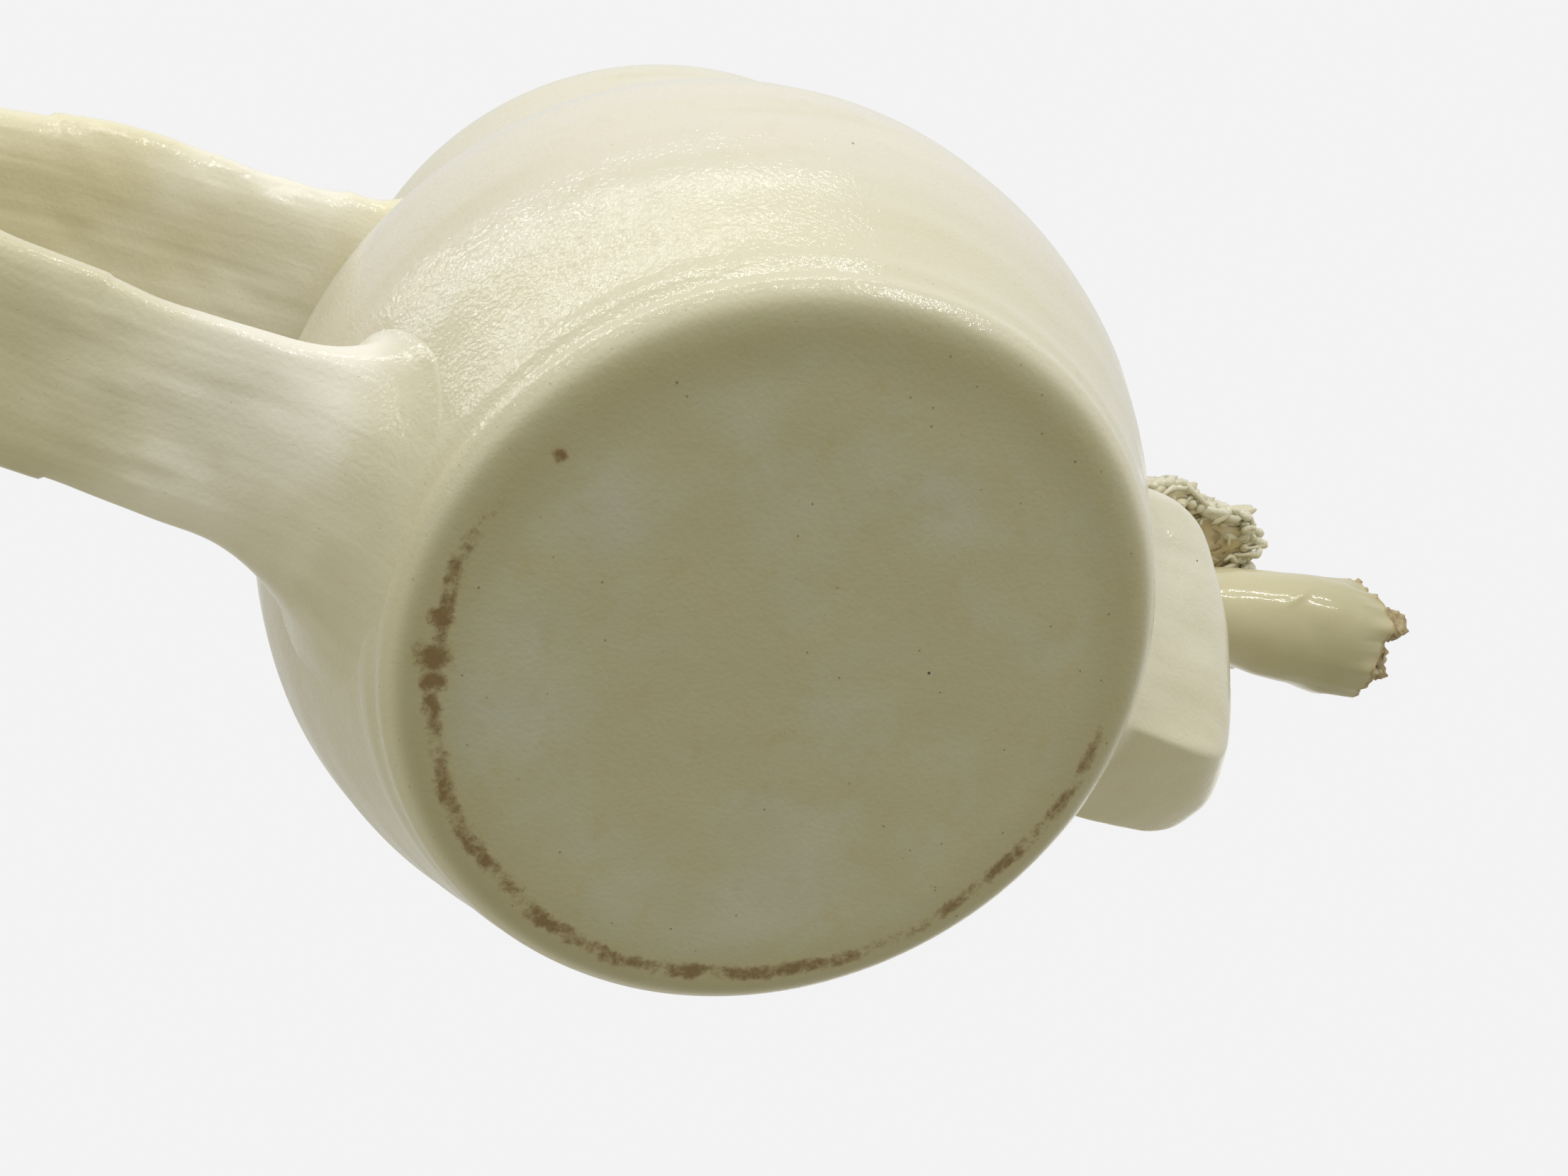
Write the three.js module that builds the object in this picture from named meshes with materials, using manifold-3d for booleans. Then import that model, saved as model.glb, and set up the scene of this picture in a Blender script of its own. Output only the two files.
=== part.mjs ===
// A wheel-thrown stoneware mug with a modelled face. The pot, the pulled strap handle and every feature
// of the face are formed apart and luted on, so each is its own solid. +Z is up, the mug stands on z = 0,
// the face looks along -Y and the handle is at +Y. The figure's own left is at +X.

import * as THREE from "three";
import { mergeVertices } from "three/addons/utils/BufferGeometryUtils.js";
import Module from "manifold-3d";

const wasm = await Module();
wasm.setup();

// Driving dimensions, in millimetres, with angles in degrees

const clearance = 0.3; // between pieces that touch

// The thrown pot
const mugHeight = 94;
const footRadius = 34; // the flat base that the mug stands on
const footRounding = 4.4; // how far the edge of the foot rounds outwards
const footRoundingHeight = 3.6;
const bellyRadius = 48.4;
const bellyHeight = 36;
const neckRadius = 42;
const neckBelowRim = 20;
const rimRadius = 43.8;
const rimLean = 5.7; // the mouth was pushed over the face while the clay was soft
const wall = 5;
const floorThickness = 7;
const floorFillet = 9;

// The pulled strap handle
const handleReach = 95.5; // from the pot's axis to the outside of the bend
const lowerRootHeight = 18.5;
const upperRootBelowRim = 17;
const strapWidthTop = 24;
const strapWidthBottom = 20;
const strapThicknessTop = 8;
const strapThicknessBottom = 6.4;
const lowerRootSpread = 7; // extra width where the end is smeared onto the pot
const upperRootSpread = 2;
const rootThickening = 4;
const rootLength = 17;
const thumbGroove = 0.9; // the strap's faces are drawn in this far along the middle

// The layout of the face: it runs from the chin to the brows, with the features at shares of its height
const faceTurn = 4; // the face is set a little off the line of the handle
const chinBottom = 8.6;
const browsBelowRim = 14;
const mouthShare = 0.455;
const noseBaseShare = 0.67;
const eyeShare = 0.845;

// The chin, a slab pressed on over the edge of the foot
const chinDepth = 19.5;
const chinWidthTop = 39;
const chinWidthBottom = 25;
const chinOffset = 0.5; // towards the figure's left
const chinShift = 1.5; // its front lies this much further over
const chinTwist = 0.22; // its left side stands out by this share more, its right side by as much less

// The lips, which grip the roll
const lipThickness = 5.2;
const lipDepth = 17.5;
const lipWidth = 34;
const lipCornerRise = 3.4;
const lipBite = 1.5; // how far each lip wraps over the roll

// The roll of clay held in the mouth, with a torn leaf wrapped round a crumbled filler
const rollRadiusRoot = 4.9;
const rollRadiusEnd = 8;
const rollReach = 46.5; // beyond the wall of the pot
const rollOffset = 1.5; // its root lies this far to the figure's right
const rollTurn = 11.5; // it points this far to the figure's right
const leafThickness = 1.5;
const tornDepth = 3.2; // height of the torn points at the end of the leaf
const tornRecess = 9; // the leaf is hollow this far in from its end
const fillerProud = 2.4;
const crumbleDepth = 1.5; // height of the filler's ragged ends

// The moustache, two bundles of extruded clay strands over a hollowed pad
const moustacheDepth = 37;
const moustacheWidth = 35.5;
const moustachePadWall = 5.5;
const moustacheParting = 1.6; // the strands start this far from the middle line
const moustacheGap = 1.2; // from the roll up to the pad's lower edge
const strandRadius = 1.4;
const strandSway = 1.2; // how far a strand's end strays from its place
const outerStrands = 12;
const innerStrands = 7; // the shorter ones behind the outer ones

// The nose
const noseDepth = 25;
const noseWidth = 15; // across the ball of the nose
const wingSpread = 5.6; // from the middle of the nose to the middle of each wing
const wingRadius = 4.2;
const noseBridgeWidth = 10;
const noseBridgeDepth = 7;
const nostrilRadius = 2.1;

// The eyes and brows
const eyeRadius = 7.2;
const eyeSpacing = 31; // between the two centres, measured round the pot
const eyeSink = 1.2; // the centre of the ball lies this far inside the pot's surface
const lidThickness = 1.9;
const upperLidEdge = 14; // degrees above the middle of the ball
const lowerLidEdge = 24; // degrees below it
const browLength = 19;
const browThickness = 4.4;
const browStart = 7; // from the middle of the face to the inner end
const browArch = 2.6; // rise of the brow's middle
const browStrands = 6;
const browStrandRadius = 1.1;

// Places that follow from the dimensions
const browHeight = mugHeight - browsBelowRim;
const faceHeight = browHeight - chinBottom;
const mouthHeight = chinBottom + mouthShare * faceHeight;
const noseBase = chinBottom + noseBaseShare * faceHeight;
const eyeHeight = chinBottom + eyeShare * faceHeight;

const SEGMENTS = 48; // facets round the pot

const lerp = THREE.MathUtils.lerp;
const rad = THREE.MathUtils.degToRad;
const vec2 = (x, y) => new THREE.Vector2(x, y);
const vec3 = (x, y, z) => new THREE.Vector3(x, y, z);
const range = (count) => Array.from({ length: count }, (_, i) => i);

// Solids

// A closed geometry as a solid, with the vertices that share a place merged.
function solidOf(geometry) {
  const bare = geometry.clone();
  for (const name of ["normal", "uv"]) bare.deleteAttribute(name);
  const merged = mergeVertices(bare, 1e-4);
  return new wasm.Manifold(
    new wasm.Mesh({
      numProp: 3,
      vertProperties: merged.attributes.position.array,
      triVerts: new Uint32Array(merged.index.array),
    }),
  );
}

function geometryOf(solid) {
  const mesh = solid.getMesh();
  const geometry = new THREE.BufferGeometry();
  geometry.setAttribute("position", new THREE.BufferAttribute(mesh.vertProperties, 3));
  geometry.setIndex(new THREE.BufferAttribute(mesh.triVerts, 1));
  geometry.computeVertexNormals();
  return geometry;
}

// The piece less what it is pressed against. What a cut parts off is scrap, so the largest body is kept.
function trimmed(solid, ...cutters) {
  const cut = cutters.reduce((rest, cutter) => rest.subtract(cutter), solid);
  return cut.decompose().reduce((a, b) => (b.volume() > a.volume() ? b : a));
}

function joined(solids) {
  return solids.reduce((sum, solid) => sum.add(solid));
}

// A closed skin over rings of points, with each end fanned to its middle.
function loft(rings) {
  const count = rings[0].length;
  const points = rings.flat();
  const faces = [];
  for (let r = 0; r < rings.length - 1; r++) {
    for (let i = 0; i < count; i++) {
      const a = r * count + i;
      const b = r * count + ((i + 1) % count);
      faces.push(a, b, b + count, a, b + count, a + count);
    }
  }
  for (const [ring, base, turn] of [
    [rings[0], 0, true],
    [rings.at(-1), (rings.length - 1) * count, false],
  ]) {
    const sum = ring.reduce((total, p) => total.add(p), vec3(0, 0, 0));
    const middle = points.push(sum.divideScalar(count)) - 1;
    for (let i = 0; i < count; i++) {
      const a = base + i;
      const b = base + ((i + 1) % count);
      faces.push(...(turn ? [b, a, middle] : [a, b, middle]));
    }
  }
  if (signedVolume(points, faces) < 0) faces.reverse();
  const geometry = new THREE.BufferGeometry().setFromPoints(points);
  geometry.setIndex(faces);
  return solidOf(geometry);
}

function signedVolume(points, faces) {
  let sum = 0;
  for (let i = 0; i < faces.length; i += 3) {
    const [a, b, c] = [points[faces[i]], points[faces[i + 1]], points[faces[i + 2]]];
    sum += a.dot(vec3().crossVectors(b, c));
  }
  return sum / 6;
}

// A section carried along a curve. The section's first axis lies along `across`, its second square to it.
function sweep(curve, steps, across, sectionAt) {
  return loft(
    range(steps + 1).map((i) => {
      const t = i / steps;
      const tangent = curve.getTangent(t);
      const side = across.clone().addScaledVector(tangent, -across.dot(tangent)).normalize();
      const rise = vec3().crossVectors(tangent, side);
      const at = curve.getPoint(t);
      return sectionAt(t).map((p) => at.clone().addScaledVector(side, p.x).addScaledVector(rise, p.y));
    }),
  );
}

// A rounded outline: an ellipse pushed out towards its corners as squareness rises above 2.
function roundedSection(halfWidth, halfHeight, sides, squareness = 2) {
  const power = 2 / squareness;
  const pushed = (share) => Math.sign(share) * Math.abs(share) ** power;
  return range(sides).map((i) => {
    const angle = (2 * Math.PI * i) / sides;
    return vec2(halfWidth * pushed(Math.cos(angle)), halfHeight * pushed(Math.sin(angle)));
  });
}

// A thread of clay: a round section pushed out along a curve.
function strand(points, radius, steps = 4, sides = 5) {
  const section = new THREE.Shape(roundedSection(radius, radius, sides));
  const extrudePath = new THREE.CatmullRomCurve3(points);
  return solidOf(new THREE.ExtrudeGeometry(section, { steps, extrudePath, bevelEnabled: false }));
}

// The thrown pot

const smooth = (t) => t * t * (3 - 2 * t);

// How far the pot's middle has moved towards -Y at a height: the lean starts at the belly.
function leanAt(z) {
  const t = THREE.MathUtils.clamp((z - bellyHeight) / (mugHeight - bellyHeight), 0, 1);
  return -rimLean * smooth(t);
}

const neckHeight = mugHeight - neckBelowRim;
const lipRound = wall / 2;
const rimShoulder = mugHeight - lipRound;

// Points of one bezier stretch without its first, so that stretches follow each other.
function bezier(a, b, c, d, steps) {
  return new THREE.CubicBezierCurve(vec2(...a), vec2(...b), vec2(...c), vec2(...d)).getPoints(steps).slice(1);
}

// The outside from the edge of the flat base to the shoulder of the rim, as radius and height.
const footTop = [footRadius + footRounding, footRoundingHeight];
const outside = [
  vec2(footRadius, 0),
  ...new THREE.QuadraticBezierCurve(
    vec2(footRadius, 0),
    vec2(footRadius + 0.72 * footRounding, 0),
    vec2(...footTop),
  )
    .getPoints(3)
    .slice(1),
  ...bezier(
    footTop,
    [lerp(footTop[0], bellyRadius, 0.66), lerp(footTop[1], bellyHeight, 0.49)],
    [bellyRadius, lerp(footTop[1], bellyHeight, 0.63)],
    [bellyRadius, bellyHeight],
    5,
  ),
  ...bezier(
    [bellyRadius, bellyHeight],
    [bellyRadius, lerp(bellyHeight, neckHeight, 0.32)],
    [neckRadius, lerp(bellyHeight, neckHeight, 0.63)],
    [neckRadius, neckHeight],
    5,
  ),
  ...bezier(
    [neckRadius, neckHeight],
    [neckRadius, lerp(neckHeight, rimShoulder, 0.4)],
    [rimRadius, lerp(neckHeight, rimShoulder, 0.7)],
    [rimRadius, rimShoulder],
    3,
  ),
];

// The outside's radius at a height, straight between its points.
function radiusAt(z) {
  const upper = outside.findIndex((p) => p.y >= z);
  if (upper < 0) return rimRadius;
  if (upper === 0) return footRadius;
  const [a, b] = [outside[upper - 1], outside[upper]];
  return lerp(a.x, b.x, (z - a.y) / (b.y - a.y));
}

function leaned(geometry) {
  const position = geometry.attributes.position;
  for (let i = 0; i < position.count; i++) position.setY(i, position.getY(i) + leanAt(position.getZ(i)));
  return geometry;
}

// A closed solid of revolution about +Z from a profile of radius and height that starts and ends on the axis.
function turnedOnWheel(profile) {
  return solidOf(leaned(new THREE.LatheGeometry(profile, SEGMENTS).rotateX(Math.PI / 2)));
}

function mugBody() {
  const inside = [
    ...bezier(
      [rimRadius - wall, rimShoulder],
      [rimRadius - wall, lerp(rimShoulder, neckHeight, 0.5)],
      [neckRadius - wall, lerp(rimShoulder, neckHeight, 0.6)],
      [neckRadius - wall, neckHeight],
      2,
    ),
    ...bezier(
      [neckRadius - wall, neckHeight],
      [neckRadius - wall, lerp(neckHeight, bellyHeight, 0.37)],
      [bellyRadius - wall, lerp(neckHeight, bellyHeight, 0.68)],
      [bellyRadius - wall, bellyHeight],
      4,
    ),
    ...bezier(
      [bellyRadius - wall, bellyHeight],
      [bellyRadius - wall, lerp(bellyHeight, floorThickness, 0.4)],
      [footTop[0] - wall + floorFillet / 3, floorThickness],
      [footTop[0] - wall - floorFillet, floorThickness],
      4,
    ),
  ];
  const rim = range(3).map((i) => {
    const angle = (Math.PI * (i + 1)) / 4;
    return vec2(rimRadius - lipRound + lipRound * Math.cos(angle), rimShoulder + lipRound * Math.sin(angle));
  });
  return turnedOnWheel([
    vec2(0, 0),
    ...outside,
    ...rim,
    vec2(rimRadius - wall, rimShoulder),
    ...inside,
    vec2(0, floorThickness),
  ]);
}

// The outside of the pot as one full solid, grown by the clearance, which every luted piece is cut back by.
const potForm = turnedOnWheel([
  vec2(0, -1),
  vec2(footRadius + clearance, -1),
  ...outside.map((p) => vec2(p.x + clearance, p.y)),
  vec2(rimRadius + clearance, mugHeight + 1),
  vec2(0, mugHeight + 1),
]);

// A place on the face: `across` is measured round the pot towards the figure's left, `out` from its surface.
function onFace(across, z, out) {
  const radius = radiusAt(z) + out;
  const angle = across / radius - rad(faceTurn);
  return vec3(radius * Math.sin(angle), leanAt(z) - radius * Math.cos(angle), z);
}

// A full form on the face, built up from level outlines. Each level has a height, a half width and a depth,
// and `bend`, how much its two ends rise above its middle. Its back is sunk into the pot's wall. `shift`
// moves its front sideways, and `twist` sets one side forward of the other.
function mound(levels, { sides = 20, centre = 0, back = 0.6 * wall, shift = 0, twist = 0 } = {}) {
  return loft(
    levels.map(({ z, halfWidth, depth, bend = 0, squareness = 2.2 }) =>
      roundedSection(1, 1, sides, squareness).map((p) =>
        onFace(
          centre + halfWidth * p.x + shift * Math.max(0, p.y),
          z + bend * p.x * p.x,
          p.y > 0 ? depth * p.y * (1 + twist * p.x) : back * p.y,
        ),
      ),
    ),
  );
}

// The handle

const upperRootHeight = mugHeight - upperRootBelowRim;

// The middle line of the strap, from its lower root round to its upper one.
const strapLine = new THREE.CatmullRomCurve3(
  (() => {
    const low = lowerRootHeight;
    const high = upperRootHeight;
    const start = radiusAt(low) - wall;
    const end = radiusAt(high) - wall;
    const outer = handleReach - strapThicknessBottom / 2;
    const at = (share, height) => vec3(0, lerp(start, outer, share), lerp(low, high, height));
    return [
      vec3(0, start, low),
      at(0.3, -0.035),
      at(0.62, -0.01),
      at(0.87, 0.12),
      at(1, 0.36),
      at(0.91, 0.59),
      at(0.67, 0.77),
      at(0.33, 0.89),
      vec3(0, end + leanAt(high), high),
    ];
  })(),
  false,
  "centripetal",
);

// The strap's outline: round edges, and both faces drawn in along the middle.
function strapSection(width, thickness) {
  return roundedSection(width / 2, thickness / 2, 14, 3).map((p) => {
    const groove = thumbGroove * Math.max(0, 1 - (2 * p.x * 1.6) ** 2 / width ** 2);
    return vec2(p.x, p.y - Math.sign(p.y) * groove);
  });
}

function handleStrap() {
  const length = strapLine.getLength();
  const spread = (fromEnd) => smooth(THREE.MathUtils.clamp(1 - (fromEnd * length) / rootLength, 0, 1));
  const strap = sweep(strapLine, 26, vec3(1, 0, 0), (t) => {
    const [low, high] = [spread(t), spread(1 - t)];
    const upper = smooth(THREE.MathUtils.clamp((t - 0.5) / 0.4, 0, 1));
    return strapSection(
      lerp(strapWidthBottom, strapWidthTop, upper) + lowerRootSpread * low + upperRootSpread * high,
      lerp(strapThicknessBottom, strapThicknessTop, t) + rootThickening * (low + high),
    );
  });
  return trimmed(strap, potForm);
}

// The roll in the mouth

const rollStart = onFace(-rollOffset, mouthHeight, -wall / 2);
const rollAxis = vec3(-Math.sin(rad(rollTurn)), -Math.cos(rad(rollTurn)), 0);
const rollLength = rollReach + wall / 2;

// Torn points round the end of the leaf: three waves that never line up.
function tornEdge(angle) {
  const waves = 0.55 * Math.sin(5 * angle) + 0.3 * Math.sin(8 * angle + 1) + 0.15 * Math.sin(11 * angle);
  return (tornDepth / 2) * waves;
}

// One ring of the roll: a circle `along` the axis from its start, with the torn edge as wanted.
function rollRing(along, radius, torn = 0, sides = 26) {
  const side = vec3(-rollAxis.y, rollAxis.x, 0);
  return range(sides).map((i) => {
    const angle = (2 * Math.PI * i) / sides;
    return rollStart
      .clone()
      .addScaledVector(rollAxis, along + torn * tornEdge(angle))
      .addScaledVector(side, radius * Math.cos(angle))
      .add(vec3(0, 0, radius * Math.sin(angle)));
  });
}

// The roll swells towards its end, with a slight waist past the lips.
function rollRadius(share) {
  return lerp(rollRadiusRoot, rollRadiusEnd, share ** 1.15) + 0.28 * Math.sin(9 * share);
}

function rollForm(extra) {
  const shares = range(9).map((i) => i / 8);
  return loft([
    ...shares.map((share) => rollRing(share * rollLength, rollRadius(share) + extra)),
    rollRing(rollLength + 2 * tornDepth, rollRadius(1) + extra),
  ]);
}

const leafBore = rollRadius(1) - leafThickness;

function cigarWrapper() {
  const shares = range(10).map((i) => i / 10);
  const floor = rollLength - tornRecess;
  const leaf = loft([
    ...shares.map((share) => rollRing(share * rollLength, rollRadius(share))),
    rollRing(rollLength - 0.4 * leafThickness, rollRadius(1), 1),
    rollRing(rollLength, rollRadius(1) - 0.35 * leafThickness, 1),
    rollRing(rollLength - 0.2 * leafThickness, leafBore, 1),
    rollRing(lerp(floor, rollLength, 0.5), leafBore),
    rollRing(floor, leafBore - 0.5 * leafThickness),
  ]);
  return trimmed(leaf, potForm);
}

// The crumbled filler: a plug that ends in a ring of torn leaf ends round a hollow.
function cigarFiller() {
  const radius = leafBore - clearance;
  const floor = rollLength - tornRecess + clearance;
  const end = rollLength + fillerProud;
  const sides = 18;
  const crumble = (i) => 0.6 * Math.sin(1.9 * i) + 0.4 * Math.sin(3.1 * i);
  const ragged = (ring, depth) => ring.map((p, i) => p.addScaledVector(rollAxis, depth * crumble(i)));
  return loft([
    rollRing(floor, radius - 0.5 * leafThickness - clearance, 0, sides),
    rollRing(lerp(floor, rollLength, 0.55), radius, 0, sides),
    ragged(rollRing(end - 0.7 * crumbleDepth, radius, 0, sides), 0.6 * crumbleDepth),
    ragged(rollRing(end, 0.72 * radius, 0, sides), crumbleDepth),
    rollRing(rollLength - 0.7 * crumbleDepth, 0.45 * radius, 0, sides),
  ]);
}

// The chin and lips

const rollClearance = rollForm(clearance);
const lowerLipBase = mouthHeight - rollRadiusRoot + lipBite - lipThickness;
const upperLipTop = mouthHeight + rollRadiusRoot - lipBite + lipThickness;

function chin() {
  const top = lowerLipBase - clearance;
  const sections = [
    // share of the height, of the width's growth and of the depth, and squareness
    [0, -0.16, 0.2, 2.6],
    [0.04, 0.05, 0.55, 3],
    [0.1, 0.2, 0.76, 3.2],
    [0.2, 0.35, 0.9, 3.2],
    [0.33, 0.5, 0.96, 3.2],
    [0.5, 0.66, 1, 3],
    [0.67, 0.82, 0.97, 2.8],
    [0.83, 0.95, 0.87, 2.6],
    [0.93, 0.99, 0.79, 2.4],
    [1, 0.92, 0.62, 2.3],
  ];
  const slab = mound(
    sections.map(([height, growth, depth, squareness]) => ({
      z: lerp(chinBottom, top, height),
      halfWidth: lerp(chinWidthBottom, chinWidthTop, growth) / 2,
      depth: chinDepth * depth,
      squareness,
    })),
    { centre: chinOffset, shift: chinShift, twist: chinTwist, sides: 26 },
  );
  return trimmed(slab, potForm, rollClearance);
}

// A lip is a full roll of clay back to the pot. `fullness` runs over its height, from 0 at an edge to 1.
function lip(bottom, top, bend) {
  return mound(
    range(7).map((i) => {
      const share = i / 6;
      const fullness = Math.sqrt(Math.max(0.06, 1 - (2 * share - 1) ** 2));
      return {
        z: lerp(bottom, top, share),
        halfWidth: (lipWidth / 2) * lerp(0.86, 1, fullness),
        depth: lipDepth - (1 - fullness) * 0.5 * lipThickness,
        bend,
      };
    }),
  );
}

// The room of the chin over the whole face, which keeps the lower lip off it.
const chinRoom = mound(
  [chinBottom, lowerLipBase].map((z) => ({ z, halfWidth: 0.7 * chinWidthTop, depth: 2 * chinDepth })),
);

// Each lip's form, grown by `extra` below and above.
function lowerLipForm(extra = 0) {
  return lip(lowerLipBase - extra, lowerLipBase + lipThickness + extra, lipCornerRise);
}

function upperLipForm(extra = 0) {
  return lip(upperLipTop - lipThickness - extra, upperLipTop + extra, -lipCornerRise);
}

function lowerLip() {
  return trimmed(lowerLipForm(), potForm, rollClearance, chinRoom);
}

function upperLip() {
  return trimmed(upperLipForm(), potForm, rollClearance, lowerLipForm(clearance));
}

// The nose

function nose(extra = 0) {
  const top = lerp(eyeHeight, browHeight, 0.35) + extra;
  const sections = [
    // share of the height, share of the width's growth, share of the depth's growth
    [0, 0.62, 0.62],
    [0.06, 0.9, 0.86],
    [0.18, 1, 0.99],
    [0.3, 0.96, 1],
    [0.42, 0.7, 0.86],
    [0.55, 0.4, 0.62],
    [0.7, 0.16, 0.36],
    [0.85, 0, 0.14],
    [1, -0.2, -0.35],
  ];
  return mound(
    sections.map(([height, growth, out]) => ({
      z: lerp(noseBase - extra, top, height),
      halfWidth: lerp(noseBridgeWidth, noseWidth, growth) / 2 + extra,
      depth: lerp(noseBridgeDepth, noseDepth, out) + extra,
    })),
    { sides: 20 },
  );
}

// The wings at each side of the ball of the nose.
function noseWings(extra = 0) {
  const at = (side) => onFace(side * wingSpread, noseBase + 0.8 * wingRadius, 0.48 * noseDepth);
  return [-1, 1].map((side) => {
    const wing = new THREE.SphereGeometry(wingRadius + extra, 10, 8).scale(0.9, 1.5, 0.95);
    return solidOf(wing.rotateX(0.25).translate(...at(side).toArray()));
  });
}

const noseClearance = joined([nose(clearance), ...noseWings(clearance)]);

function noseWithNostrils() {
  const nostrils = [-1, 1].map((side) => {
    const at = onFace(side * 0.75 * wingSpread, noseBase - 0.2, 0.56 * noseDepth);
    const ball = new THREE.SphereGeometry(nostrilRadius, 8, 6).scale(0.85, 1.5, 1.5);
    return solidOf(ball.translate(at.x, at.y, at.z));
  });
  return trimmed(joined([nose(), ...noseWings()]), potForm, ...nostrils);
}

// The moustache

const moustacheTop = noseBase - clearance;
const moustacheBottom = mouthHeight + rollRadiusRoot + moustacheGap;

// The outline of the moustache seen from above, from its middle (share 0) to its corner (share 1).
function moustacheEdge(share, width, depth) {
  const angle = share * rad(84);
  return [(width / 2) * Math.sin(angle) ** 0.75, depth * Math.cos(angle) ** 0.75];
}

// The pad under the strands: a visor over the mouth, hollowed from below.
function moustachePad() {
  const sections = [
    // share of the height, share of the width, share of the depth
    [0, 0.95, 0.93],
    [0.25, 1, 0.97],
    [0.55, 0.94, 0.94],
    [0.8, 0.8, 0.85],
    [1, 0.6, 0.7],
  ];
  const level = (height, halfWidth, depth) => ({
    z: lerp(moustacheBottom, moustacheTop, height),
    halfWidth,
    depth,
    squareness: 2.4,
  });
  const halfWidth = moustacheWidth / 2 - strandRadius;
  const depth = moustacheDepth - strandRadius;
  const form = mound(sections.map(([h, w, d]) => level(h, halfWidth * w, depth * d)));
  const hollow = mound([
    level(-0.3, halfWidth - moustachePadWall, depth - moustachePadWall),
    level(0.25, halfWidth - moustachePadWall, depth - moustachePadWall),
    level(0.5, 0.6 * halfWidth, 0.6 * depth),
  ]);
  return form.subtract(hollow);
}

// One strand of a bundle: from under the nose it swells out over the pad and hangs past its lower edge.
function moustacheStrand(side, share, inner, index) {
  const layer = inner ? 0.86 : 1;
  const sway = strandSway * Math.sin(2.4 * index);
  const height = (level) => lerp(moustacheTop, moustacheBottom, level);
  const point = (reach, z, shift = 0) => {
    const [across, out] = moustacheEdge(share, moustacheWidth * reach * layer, moustacheDepth * reach * layer);
    return onFace(side * (across + moustacheParting + shift), z, out);
  };
  return strand(
    [
      point(0.72, height(0.12)),
      point(0.97, height(0.42)),
      point(1.01, height(0.8), 0.4 * sway),
      point(0.95, height(inner ? 0.95 : 1.06) - 0.75 * sway, sway),
    ],
    strandRadius,
  );
}

// Half of the face's room, from its middle plane outwards, which parts the two bundles.
function halfRoom(side) {
  const size = 3 * bellyRadius;
  const room = new THREE.BoxGeometry(size, size, 2 * mugHeight);
  room.translate((side * (size + clearance)) / 2, -size / 2, mugHeight / 2);
  return solidOf(room.rotateZ(-rad(faceTurn)));
}

function moustache(side) {
  const layer = (count, inner) =>
    range(count).map((i) => moustacheStrand(side, (i + 0.5) / count, inner, i + (inner ? 7 : 0)));
  const bundle = joined([moustachePad(), ...layer(outerStrands, false), ...layer(innerStrands, true)]);
  const half = bundle.intersect(halfRoom(side));
  return trimmed(half, potForm, rollClearance, noseClearance, upperLipForm(clearance));
}

// The eyes

function eyeCentre(side) {
  return onFace((side * eyeSpacing) / 2, eyeHeight, -eyeSink);
}

function ball(side, radius) {
  const at = eyeCentre(side);
  return solidOf(new THREE.SphereGeometry(radius, 18, 11).translate(at.x, at.y, at.z));
}

function eyeball(side) {
  return trimmed(ball(side, eyeRadius), potForm, noseClearance);
}

// A lid is a shell round the ball, cut by a plane through its middle that is tipped by the lid's edge angle.
function eyelid(side, upper) {
  const at = eyeCentre(side);
  const size = 4 * eyeRadius;
  const block = new THREE.BoxGeometry(size, size, size).translate(0, 0, upper ? size / 2 : -size / 2);
  block.rotateX(rad(upper ? -upperLidEdge : lowerLidEdge));
  block.rotateZ(Math.atan2(at.x, -at.y + leanAt(eyeHeight))).translate(at.x, at.y, at.z);
  const shell = ball(side, eyeRadius + clearance + lidThickness).subtract(ball(side, eyeRadius + clearance));
  const lidHalf = shell.intersect(solidOf(block));
  return trimmed(lidHalf, potForm, noseClearance);
}

// The brows

function brow(side) {
  const line = (share, lift, out) =>
    onFace(
      side * (browStart + share * browLength),
      browHeight + lift + browArch * (Math.sin(Math.PI * (0.25 + 0.62 * share)) - 0.6),
      out,
    );
  const pad = sweep(
    new THREE.CatmullRomCurve3(range(5).map((i) => line(i / 4, 0, 0.2 * browThickness))),
    8,
    vec3(0, 0, 1),
    (t) => {
      const fullness = Math.sqrt(Math.max(0.05, 1 - (2 * t - 0.9) ** 2));
      return roundedSection(0.5 * browThickness * fullness, 0.5 * browThickness * fullness, 7);
    },
  );
  // Each hair slants outwards and upwards over the pad.
  const hairs = range(browStrands).map((i) => {
    const share = i / browStrands;
    const slant = [-1, 0, 1].map((step) =>
      line(share + 0.1 * (step + 1), 1.5 * step, browThickness * (0.54 - 0.12 * step ** 2)),
    );
    return strand(slant, browStrandRadius, 3);
  });
  const lids = ball(side, eyeRadius + 2 * clearance + lidThickness);
  return trimmed(joined([pad, ...hairs]), potForm, lids, noseClearance);
}

// The scene

const glaze = { color: 0xe4dcc4, roughness: 0.28, metalness: 0 };
const paleGlaze = { color: 0xebe6d4, roughness: 0.22, metalness: 0 };
const leafGlaze = { color: 0xded4b8, roughness: 0.3, metalness: 0 };
const bareClay = { color: 0xb08a68, roughness: 0.7, metalness: 0 };

function piece(name, solid, finish) {
  const mesh = new THREE.Mesh(geometryOf(solid), new THREE.MeshStandardMaterial(finish));
  mesh.name = name;
  return mesh;
}

const pot = new THREE.Group();
pot.add(piece("mug_body", mugBody(), glaze), piece("handle_strap", handleStrap(), glaze));

const mouth = new THREE.Group();
mouth.add(
  piece("chin", chin(), glaze),
  piece("lower_lip", lowerLip(), glaze),
  piece("upper_lip", upperLip(), glaze),
  piece("cigar_wrapper", cigarWrapper(), leafGlaze),
  piece("cigar_filler", cigarFiller(), bareClay),
);

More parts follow.
